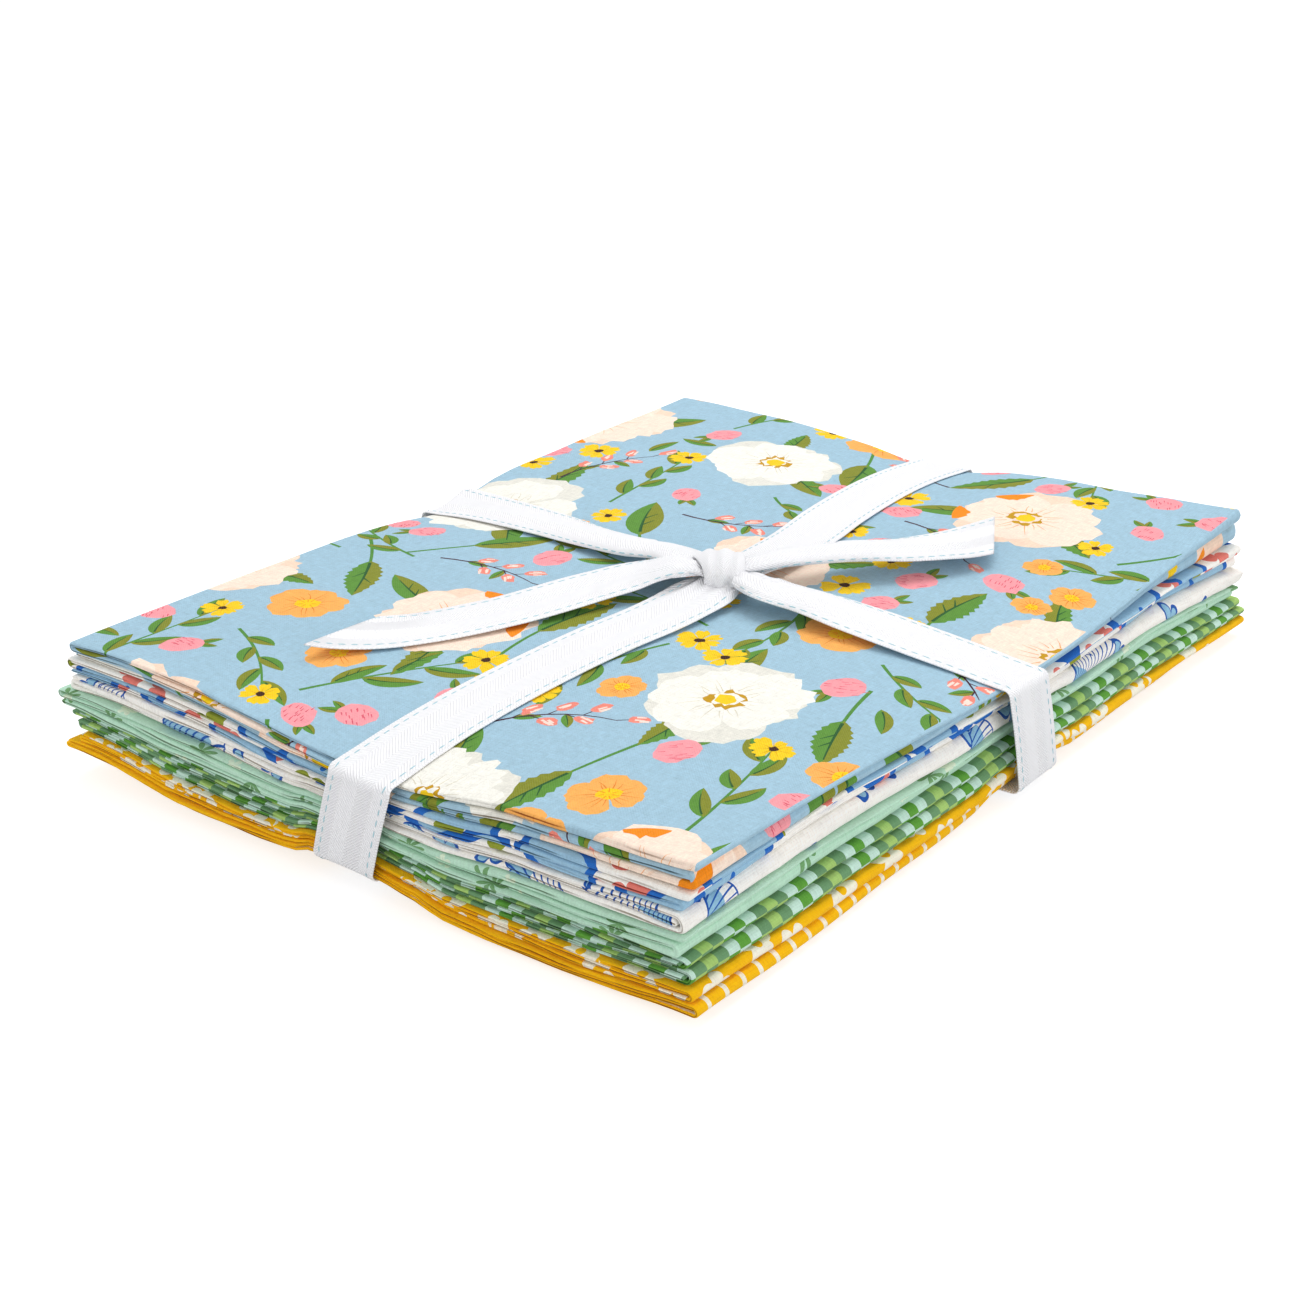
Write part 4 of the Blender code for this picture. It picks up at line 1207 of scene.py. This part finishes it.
# White twill ribbon, twice round the bundle and tied in a flat knot
# One length of herringbone tape, about 7/8 in wide, goes round the stack both ways, is knotted over the
# middle of the top and has two free tails. It is woven cotton with a pale blue running stitch along
# each edge.
RIBBON_WIDTH = 0.0215
RIBBON_THICKNESS = 0.00055
RIBBON_GAP = 0.0005
RIBBON_BEND = 0.0022
RIBBON_SIDE_GAP = 0.0009
SIDE_BULGE = 0.0003
CROSSING_STEP = 0.0006
CURL_HEIGHT = 0.30
ROW_SPACING = 0.0013
TAPE_WHITE = (250, 250, 253)
TAPE_FINISH = {"Roughness": 0.8, "Specular IOR Level": 0.3, "Sheen Weight": 0.08}
TAPE_BUMP = {"Strength": 0.8, "Distance": 0.00014}
SELVAGE_PITCH = 0.0009
STITCH_INSET = 0.80

# Rows left without stitches at the ends of the two turns and the two tails. The knot's wrap has none.
ROWS_NOT_SEWN = ((5, 5), (8, 8), (5, 1), (5, 1))
STITCH_SPACING = 0.0035
STITCH_LENGTH = 0.0025
STITCH_WIDTH = 0.00042
STITCH_HEIGHT = 0.00022
STITCH_UNEVEN = (0.88, 1.08)
THREAD_BLUE = (190, 220, 228)
THREAD_SHADE = (148, 194, 206)
TOP_OF_CLOTH = STACK_HEIGHT - CLOTH_GAP

# Runs over the top as (x, y, half of the width seen, rise over the cloth), from the knot outwards
LEFT_ARM = (
    (0.0140, -0.0040, 0.0040, 0.0030), (0.0090, -0.0046, 0.0050, 0.0044), (0.0030, -0.0034, 0.0062, 0.0048),
    (-0.0094, 0.0002, 0.0062, 0.0038), (-0.0216, 0.0010, 0.0072, 0.0024), (-0.0359, 0.0032, 0.0080, 0.0014),
    (-0.0600, 0.0078, 0.0096, 0.0006), (-0.0850, 0.0115, 0.0103, 0.0003), (-0.1040, 0.0142, 0.0107, 0.0),
)
FRONT_ARM = (
    (0.0170, -0.0060, 0.0060, 0.0022), (0.0170, -0.0135, 0.0098, 0.0026), (0.0165, -0.0215, 0.0106, 0.0018),
    (0.0153, -0.0320, 0.0107, 0.0010), (0.0119, -0.0550, 0.0107, 0.0004), (0.0086, -0.0950, 0.0107, 0.0001),
    (0.0064, -0.1360, 0.0107, 0.0),
)
RIGHT_ARM = (
    (0.0240, -0.0080, 0.0040, 0.0052), (0.0280, -0.0088, 0.0050, 0.0054), (0.0370, -0.0090, 0.0078, 0.0050),
    (0.0460, -0.0070, 0.0084, 0.0042), (0.0629, -0.0048, 0.0101, 0.0026), (0.0850, -0.0022, 0.0106, 0.0008),
    (0.1040, 0.0002, 0.0107, 0.0),
)
BACK_ARM = (
    (0.0160, -0.0060, 0.0060, 0.0030), (0.0162, 0.0060, 0.0080, 0.0030), (0.0152, 0.0190, 0.0092, 0.0020),
    (0.0135, 0.0380, 0.0101, 0.0010), (0.0085, 0.0660, 0.0105, 0.0004), (0.0045, 0.0980, 0.0106, 0.0001),
    (0.0017, 0.1360, 0.0107, 0.0),
)
LEFT_TAIL = (
    (0.0150, -0.0062, 0.0040, 0.0040), (0.0098, -0.0092, 0.0046, 0.0056), (0.0040, -0.0124, 0.0074, 0.0060),
    (-0.0035, -0.0185, 0.0100, 0.0044), (-0.0107, -0.0290, 0.0107, 0.0028),
    (-0.0229, -0.0570, 0.0107, 0.0010), (-0.0360, -0.0800, 0.0107, 0.0004),
    (-0.0485, -0.0965, 0.0107, 0.0006),
)
LEFT_TAIL_CUT = 0.0120
LEFT_TIP_LIFT = 0.0035
RIGHT_TAIL = (
    (0.0165, -0.0050, 0.0040, 0.0046), (0.0215, -0.0006, 0.0046, 0.0062), (0.0275, 0.0075, 0.0054, 0.0074),
    (0.0335, 0.0175, 0.0062, 0.0072), (0.0413, 0.0290, 0.0072, 0.0066), (0.0490, 0.0400, 0.0088, 0.0056),
    (0.0570, 0.0560, 0.0103, 0.0044), (0.0630, 0.0714, 0.0107, 0.0038),
)
RIGHT_TAIL_CUT = 0.0089
RIGHT_TIP_LIFT = 0.0010
TIP_REACH = 0.020
TUCK_LENGTH = 0.003
GATHER_HEIGHT = 0.00060
GATHER_REACH = 0.024
GATHER_TURNS = (15, 260)

# The tape's wrap over the knot: its middle and heading, its half length and half width, the height of
# its middle over the cloth and how far it rises over that, and the height of its folds
KNOT_MIDDLE = (0.0155, -0.0050)
KNOT_HEADING = math.radians(-55)
KNOT_REACH = 0.0092
KNOT_HALF_WIDTH = 0.0070
KNOT_MIDDLE_HEIGHT = 0.0060
KNOT_RISE = 0.0054
KNOT_FOLD = 0.00042

# Where the ribbon crosses each side, as (0 for x or 1 for y, which way along it the side lies, place of the
# ribbon along the top edge, place along the underside)
SIDE_RUNS = {
    "front": (1, -1, 0.0060, -0.0022),
    "right": (0, 1, 0.0010, 0.0086),
    "back": (1, 1, 0.0010, -0.0010),
    "left": (0, -1, 0.0155, 0.0120),
}
SIDE_REACH = {"front": 0.1452, "right": 0.1135, "back": 0.1467, "left": 0.1140}
ACROSS = np.sin(np.linspace(-0.5, 0.5, 27) * math.pi * 0.96) / math.sin(0.48 * math.pi)


def cloth_top(x, y):
    """Height of the blue cut's upper face."""
    return level(x, y, TOP_OF_CLOTH)


def over_cloth(stations, cut=0.0, tip_lift=0.0):
    """Rows of points across a run of ribbon that starts in the knot and lies over the cloth."""
    table = np.array(stations)
    steps = np.hypot(*np.diff(table[:, :2], axis=0).T)
    places = np.concatenate([[0.0], np.cumsum(steps)])
    at = np.linspace(0.0, places[-1], int(places[-1] / ROW_SPACING))
    x, y, half, rise = (curve_through(list(zip(places, column)), at)[:, None] for column in table.T)
    heading = np.hypot(np.gradient(x[:, 0]), np.gradient(y[:, 0]))[:, None]
    ahead_x = np.gradient(x[:, 0])[:, None] / heading
    ahead_y = np.gradient(y[:, 0])[:, None] / heading
    gather = np.maximum(RIBBON_WIDTH / 2 / half, 1.001)
    curl = np.where(gather < math.pi / 2, np.sqrt(6 * (gather - 1)) * (1 - 0.08 * (gather - 1)), gather)
    offset = half * np.sin(curl * ACROSS) / np.sin(np.minimum(curl, math.pi / 2))
    arch = CURL_HEIGHT * half * (np.cos(curl * ACROSS) - np.cos(curl))
    tucked = np.sqrt(1 - (1 - np.clip(at / TUCK_LENGTH, 0.02, 1.0)) ** 2)[:, None]
    offset = offset * tucked
    slant = cut * ACROSS * eased((at - places[-1] + 3 * cut) / (3 * cut + 1e-9))[:, None]
    place_x = x - ahead_y * offset + ahead_x * slant
    place_y = y + ahead_x * offset + ahead_y * slant
    z = cloth_top(place_x, place_y) + RIBBON_GAP + rise + arch
    gathers = np.sin(GATHER_TURNS[0] * ACROSS + GATHER_TURNS[1] * at[:, None])
    gathers = gathers * np.clip(1 - at / GATHER_REACH, 0.0, 1.0)[:, None]
    z = z + GATHER_HEIGHT * gathers * tucked
    tip = np.clip((at - places[-1] + TIP_REACH) / TIP_REACH, 0.0, 1.0)[:, None] ** 2
    z = z + tip_lift * tip * np.clip(0.5 + 0.5 * ACROSS, 0.0, 1.0)
    return np.stack([place_x, place_y, z], -1)


def side_row(side, across, outwards):
    """The x and y of a row across the ribbon that lies this far out towards a side."""
    axis, sign = SIDE_RUNS[side][:2]
    along = across + RIBBON_WIDTH / 2 * ACROSS
    away = along * 0 + sign * outwards
    return (away, along) if axis == 0 else (along, away)


def round_side(side, lift):
    """Rows of points over the top edge of one side, down it and round to the underside."""
    top_across, bottom_across = SIDE_RUNS[side][2:]
    out = SIDE_REACH[side] + RIBBON_SIDE_GAP
    inner = out - RIBBON_BEND
    high = cloth_top(*side_row(side, top_across, out - 0.004)) + RIBBON_GAP
    low = np.minimum(level(*side_row(side, bottom_across, inner), 0.0) - RIBBON_GAP - lift, high)
    top, bottom = high - RIBBON_BEND, low + RIBBON_BEND
    rows = []
    for angle in np.radians(np.linspace(90, 0, 8)):
        x, y = side_row(side, top_across, inner + RIBBON_BEND * math.cos(angle))
        rows.append(np.stack([x, y, high - RIBBON_BEND * (1 - math.sin(angle))], -1))
    for share in np.linspace(0, 1, 18)[1:-1]:
        bulge = SIDE_BULGE * math.sin(math.pi * share)
        x, y = side_row(side, top_across + (bottom_across - top_across) * share, out + bulge)
        rows.append(np.stack([x, y, top + (bottom - top) * share], -1))
    for angle in np.radians(np.linspace(0, -90, 8)):
        x, y = side_row(side, bottom_across, inner + RIBBON_BEND * math.cos(angle))
        rows.append(np.stack([x, y, low + RIBBON_BEND * (1 + math.sin(angle))], -1))
    return np.array(rows)


def under_cloth(first, second, lift):
    """Rows of points along the underside from one side to the opposite one."""
    start, stop = SIDE_RUNS[first][3], SIDE_RUNS[second][3]
    reach = min(SIDE_REACH[first], SIDE_REACH[second]) - 0.006
    rows = []
    for share in np.linspace(0.0, 1.0, 90):
        x, y = side_row(first, start + (stop - start) * share, reach * (1 - 2 * share))
        rows.append(np.stack([x, y, level(x, y, 0.0) - RIBBON_GAP - lift], -1))
    return np.array(rows)


def mirrored_rows(rows, like):
    """The rows with their points in the order in which another run ends."""
    straight = np.linalg.norm(rows[0, 0] - like[-1, 0])
    crossed = np.linalg.norm(rows[0, -1] - like[-1, 0])
    return rows if straight <= crossed else rows[:, ::-1]


def whole_turn(first_arm, first, second, second_arm, lift):
    """Rows of points once round the stack, from the knot and back to it."""
    rows = over_cloth(first_arm)
    following = (round_side(first, lift), under_cloth(first, second, lift),
                 round_side(second, lift)[::-1], over_cloth(second_arm)[::-1])
    for part in following:
        rows = np.concatenate([rows, mirrored_rows(part, rows)])
    return rows


def knot_wrap():
    """Rows of points of the ribbon where it is pulled over the knot and tucked in at the front."""
    middle = np.array(KNOT_MIDDLE)
    ahead = unit(KNOT_HEADING)
    aside = np.array([-ahead[1], ahead[0]])
    base = float(cloth_top(np.array([middle[0]]), np.array([middle[1]]))[0])
    rows = []
    for angle in np.radians(np.linspace(-112, 112, 44)):
        narrow = 1 - 0.16 * ACROSS ** 2 - 0.20 * ACROSS ** 6
        ahead_by = KNOT_REACH * np.sin(angle) * narrow
        folds = KNOT_FOLD * np.sin(9.5 * ACROSS + 1.8 * angle) * (1 - ACROSS ** 4)
        up = KNOT_MIDDLE_HEIGHT + (KNOT_RISE * narrow + folds) * np.cos(angle)
        ahead_by = ahead_by + folds * math.sin(angle)
        aside_by = KNOT_HALF_WIDTH * ACROSS * (1 - 0.16 * math.sin(angle)) + 0.0012 * math.sin(angle)
        x = middle[0] + ahead[0] * ahead_by + aside[0] * aside_by
        y = middle[1] + ahead[1] * ahead_by + aside[1] * aside_by
        rows.append(np.stack([x, y, base + up], -1))
    return np.array(rows)


def facings_of(rows):
    """The way that a surface made of rows of points faces at each of them."""
    normal = np.cross(np.gradient(rows, axis=0), np.gradient(rows, axis=1))
    return normal / (np.linalg.norm(normal, axis=-1, keepdims=True) + 1e-12)


def strip_mesh(rows):
    """Points, faces and flat places of a closed strip of tape whose middle surface has these rows."""
    normal = facings_of(rows)
    edge = np.clip((1 - np.abs(ACROSS)) / 0.05, 0.0, 1.0)
    half = (RIBBON_THICKNESS / 2 * np.sqrt(1 - (1 - edge) ** 2))[None, :, None]
    upper, lower = rows + normal * half, rows - normal * half
    count, wide = rows.shape[:2]
    loop = np.concatenate([upper, lower[:, ::-1]], 1)
    around = loop.shape[1]
    i, j = np.meshgrid(np.arange(count - 1), np.arange(around), indexing="ij")
    following = (j + 1) % around
    faces = [np.stack([i * around + j, (i + 1) * around + j, (i + 1) * around + following,
                       i * around + following], -1).reshape(-1, 4)]
    end = np.arange(wide - 1)
    for row in (0, count - 1):
        cap = np.stack([end, end + 1, around - end - 2, around - end - 1], 1) + row * around
        faces.append(cap[:, ::-1] if row else cap)
    steps = np.linalg.norm(np.diff(rows[:, wide // 2], axis=0), axis=1)
    run_length = np.concatenate([[0.0], np.cumsum(steps)])
    flat_across = np.concatenate([ACROSS, ACROSS[::-1]]) * RIBBON_WIDTH / 2
    places = np.stack(np.meshgrid(run_length, flat_across, indexing="ij"), -1).reshape(-1, 2)
    return loop.reshape(-1, 3), np.concatenate(faces), places, run_length[-1]


def joined_strips(name, runs):
    """One piece from several runs of tape, and the length of tape in it."""
    points, faces, places, count, length = [], [], [], 0, 0.0
    for rows in runs:
        run_points, run_faces, run_places, run_length = strip_mesh(rows)
        points.append(run_points)
        faces.append(run_faces + count)
        places.append(run_places[run_faces.ravel()] + np.array([length, 0.0]))
        count += len(run_points)
        length += run_length
    piece = closed_mesh(name, np.concatenate(points), np.concatenate(faces), np.concatenate(places))
    shape = bmesh.new()
    shape.from_mesh(piece.data)
    bmesh.ops.recalc_face_normals(shape, faces=shape.faces[:])
    shape.to_mesh(piece.data)
    shape.free()
    return piece, length


def herringbone():
    """Twill ribs that turn back every few millimetres, with a finer selvage, and painted shade between them.
    """
    inputs = (("Place", "Vector", None), ("Rib Pitch", "Float", 0.00105))
    group, recipe, given, made = shader_group("herringbone_twill", inputs, ("Relief", "Tone And Shade"))
    along, across, _ = recipe.parts(given["Place"])
    turned_back = recipe.math("PINGPONG", recipe.math("ADD", across, RIBBON_WIDTH), RIBBON_WIDTH / 4)
    slanting = recipe.math("DIVIDE", recipe.math("ADD", along, turned_back), given["Rib Pitch"])
    rib = recipe.math("SINE", recipe.math("MULTIPLY", slanting, 2 * math.pi))
    loops = recipe.math("SINE", recipe.math("MULTIPLY", along, 2 * math.pi / SELVAGE_PITCH))
    edge = RIBBON_WIDTH / 2
    selvage = recipe.ramp(recipe.math("ABSOLUTE", across), edge - 0.0009, edge - 0.0006)
    twill = recipe.math("MULTIPLY", rib, recipe.math("SUBTRACT", 1.0, selvage))
    relief = recipe.math("ADD", twill, recipe.math("MULTIPLY", loops, selvage))
    fibres = recipe.noise(given["Place"], (2600.0, 2600.0, 0.0), 3.0)
    recipe.feed(made["Relief"], recipe.math("ADD", relief, fibres))
    tone = recipe.math("MULTIPLY_ADD", fibres, 0.05, 0.965)
    # Painted shade: the ribs' and selvage's relief darkens the tone between them, over the fibres' random
    # tone
    recipe.feed(made["Tone And Shade"], recipe.math("ADD", recipe.math("MULTIPLY", relief, 0.050), tone))
    return group


def white_twill(recipe, place):
    """The colour of white woven tape, with painted shade between its ribs, and its relief."""
    weave = recipe.use(herringbone(), Place=place)
    return recipe.mix(1.0, TAPE_WHITE, weave["Tone And Shade"], "MULTIPLY"), weave["Relief"]


ribbon_runs = [
    whole_turn(LEFT_ARM, "left", "right", RIGHT_ARM, CROSSING_STEP),
    whole_turn(FRONT_ARM, "front", "back", BACK_ARM, 0.0),
    over_cloth(LEFT_TAIL, LEFT_TAIL_CUT, LEFT_TIP_LIFT),
    over_cloth(RIGHT_TAIL, RIGHT_TAIL_CUT, RIGHT_TIP_LIFT),
    knot_wrap(),
]
ribbon, ribbon_length = joined_strips("ribbon_white_twill", ribbon_runs)
ribbon.data.materials.append(woven_cloth("ribbon_white_twill", white_twill, TAPE_FINISH, TAPE_BUMP))


def stitch_lines(runs):
    """Lines on the tape's outer side a little inside both edges, each point with the way it faces."""
    points, edges, facings = [], [], []
    for rows, skipped in runs:
        normal = facings_of(rows)
        if normal[len(rows) // 8].mean(axis=0)[2] < 0:
            normal = -normal
        for side in (-1, 1):
            line = [interpolated(part, side * STITCH_INSET) for part in (rows, normal)]
            kept = slice(skipped[0], len(rows) - skipped[1])
            spots = line[0][kept] + line[1][kept] * (RIBBON_THICKNESS / 2 + 0.00003)
            edges += [(len(points) + n, len(points) + n + 1) for n in range(len(spots) - 1)]
            points += spots.tolist()
            facings += line[1][kept].tolist()
    mesh = bpy.data.meshes.new("stitch_lines")
    mesh.from_pydata(points, edges, [])
    facing = mesh.attributes.new("facing", "FLOAT_VECTOR", "POINT")
    facing.data.foreach_set("vector", np.array(facings, np.float32).ravel())
    return mesh


def interpolated(rows, across):
    """Each row's point at this place across the tape, from -1 to 1."""
    return np.stack([[np.interp(across, ACROSS, row[:, axis]) for axis in range(3)] for row in rows])


def dashes_tree():
    """A small rounded dash at even steps along every line, flat on the surface that it faces."""
    tree = bpy.data.node_groups.new("running_stitch", "GeometryNodeTree")
    tree.interface.new_socket("Geometry", in_out="INPUT", socket_type="NodeSocketGeometry")
    for label, kind in (("Spacing", "Float"), ("Length", "Float"), ("Width", "Float"), ("Height", "Float"),
                        ("Seed", "Int"), ("Thread", "Material")):
        tree.interface.new_socket(label, in_out="INPUT", socket_type="NodeSocket" + kind)
    tree.interface.new_socket("Geometry", in_out="OUTPUT", socket_type="NodeSocketGeometry")
    recipe = Recipe(tree)
    given = recipe.add("NodeGroupInput").outputs
    curve = recipe.add("GeometryNodeMeshToCurve", {"Mesh": given["Geometry"]})
    fed = {"Curve": curve.outputs["Curve"], "Length": given["Spacing"]}
    even = recipe.add("GeometryNodeResampleCurve", fed, mode="LENGTH")
    spots = recipe.add("GeometryNodeCurveToPoints", {"Curve": even.outputs["Curve"]}, mode="EVALUATED")
    facing = recipe.add("GeometryNodeInputNamedAttribute", {"Name": "facing"}, data_type="FLOAT_VECTOR")
    ahead = recipe.add("FunctionNodeAlignRotationToVector", {"Vector": spots.outputs["Tangent"]}, axis="X")
    fed = {"Rotation": ahead.outputs["Rotation"], "Vector": facing.outputs["Attribute"]}
    level_dash = recipe.add("FunctionNodeAlignRotationToVector", fed, axis="Z", pivot_axis="X")
    dash = recipe.add("GeometryNodeMeshUVSphere", {"Segments": 6, "Rings": 4, "Radius": 0.5})
    fed = {2: STITCH_UNEVEN[0], 3: STITCH_UNEVEN[1], "Seed": given["Seed"]}
    uneven = recipe.add("FunctionNodeRandomValue", fed, data_type="FLOAT")
    size = recipe.add("ShaderNodeCombineXYZ", {
        "X": recipe.math("MULTIPLY", given["Length"], uneven.outputs[1]),
        "Y": given["Width"],
        "Z": given["Height"],
    })
    sewn = recipe.add("GeometryNodeInstanceOnPoints", {
        "Points": spots.outputs["Points"],
        "Instance": dash.outputs["Mesh"],
        "Rotation": level_dash.outputs["Rotation"],
        "Scale": size.outputs["Vector"],
    })
    real = recipe.add("GeometryNodeRealizeInstances", {"Geometry": sewn.outputs["Instances"]})
    fed = {"Geometry": real.outputs["Geometry"], "Material": given["Thread"]}
    coloured = recipe.add("GeometryNodeSetMaterial", fed)
    recipe.add("NodeGroupOutput", {"Geometry": coloured.outputs["Geometry"]})
    return tree


def stitched(name, lines, thread):
    """The dashes as one plain mesh."""
    holder = placed(name + "_lines", lines)
    tree = dashes_tree()
    values = {"Spacing": STITCH_SPACING, "Length": STITCH_LENGTH, "Width": STITCH_WIDTH,
              "Height": STITCH_HEIGHT, "Seed": 5, "Thread": thread}
    modifier = holder.modifiers.new("stitches", "NODES")
    modifier.node_group = tree
    for item in tree.interface.items_tree:
        if item.in_out == "INPUT" and item.name in values:
            modifier[item.identifier] = values[item.name]
    baked = bpy.data.meshes.new_from_object(holder.evaluated_get(bpy.context.evaluated_depsgraph_get()))
    holder.modifiers.remove(modifier)
    bpy.data.objects.remove(holder)
    baked.name = name
    baked.shade_smooth()
    return placed(name, baked)


thread = bpy.data.materials.new("pale_blue_thread")
thread.use_nodes = True
recipe = Recipe(thread.node_tree)
spot = recipe.add("ShaderNodeTexCoord").outputs["Object"]
fibres = recipe.noise(spot, (5000.0, 5000.0, 5000.0), 2.0)
shader = thread.node_tree.nodes["Principled BSDF"]
recipe.feed(shader.inputs["Base Color"], recipe.mix(fibres, THREAD_SHADE, THREAD_BLUE))
shader.inputs["Roughness"].default_value = 0.7
stitches = stitched("ribbon_stitches", stitch_lines(zip(ribbon_runs, ROWS_NOT_SEWN)), thread)

for piece in (ribbon, stitches):
    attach(piece, "root")
    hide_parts("ribbon")
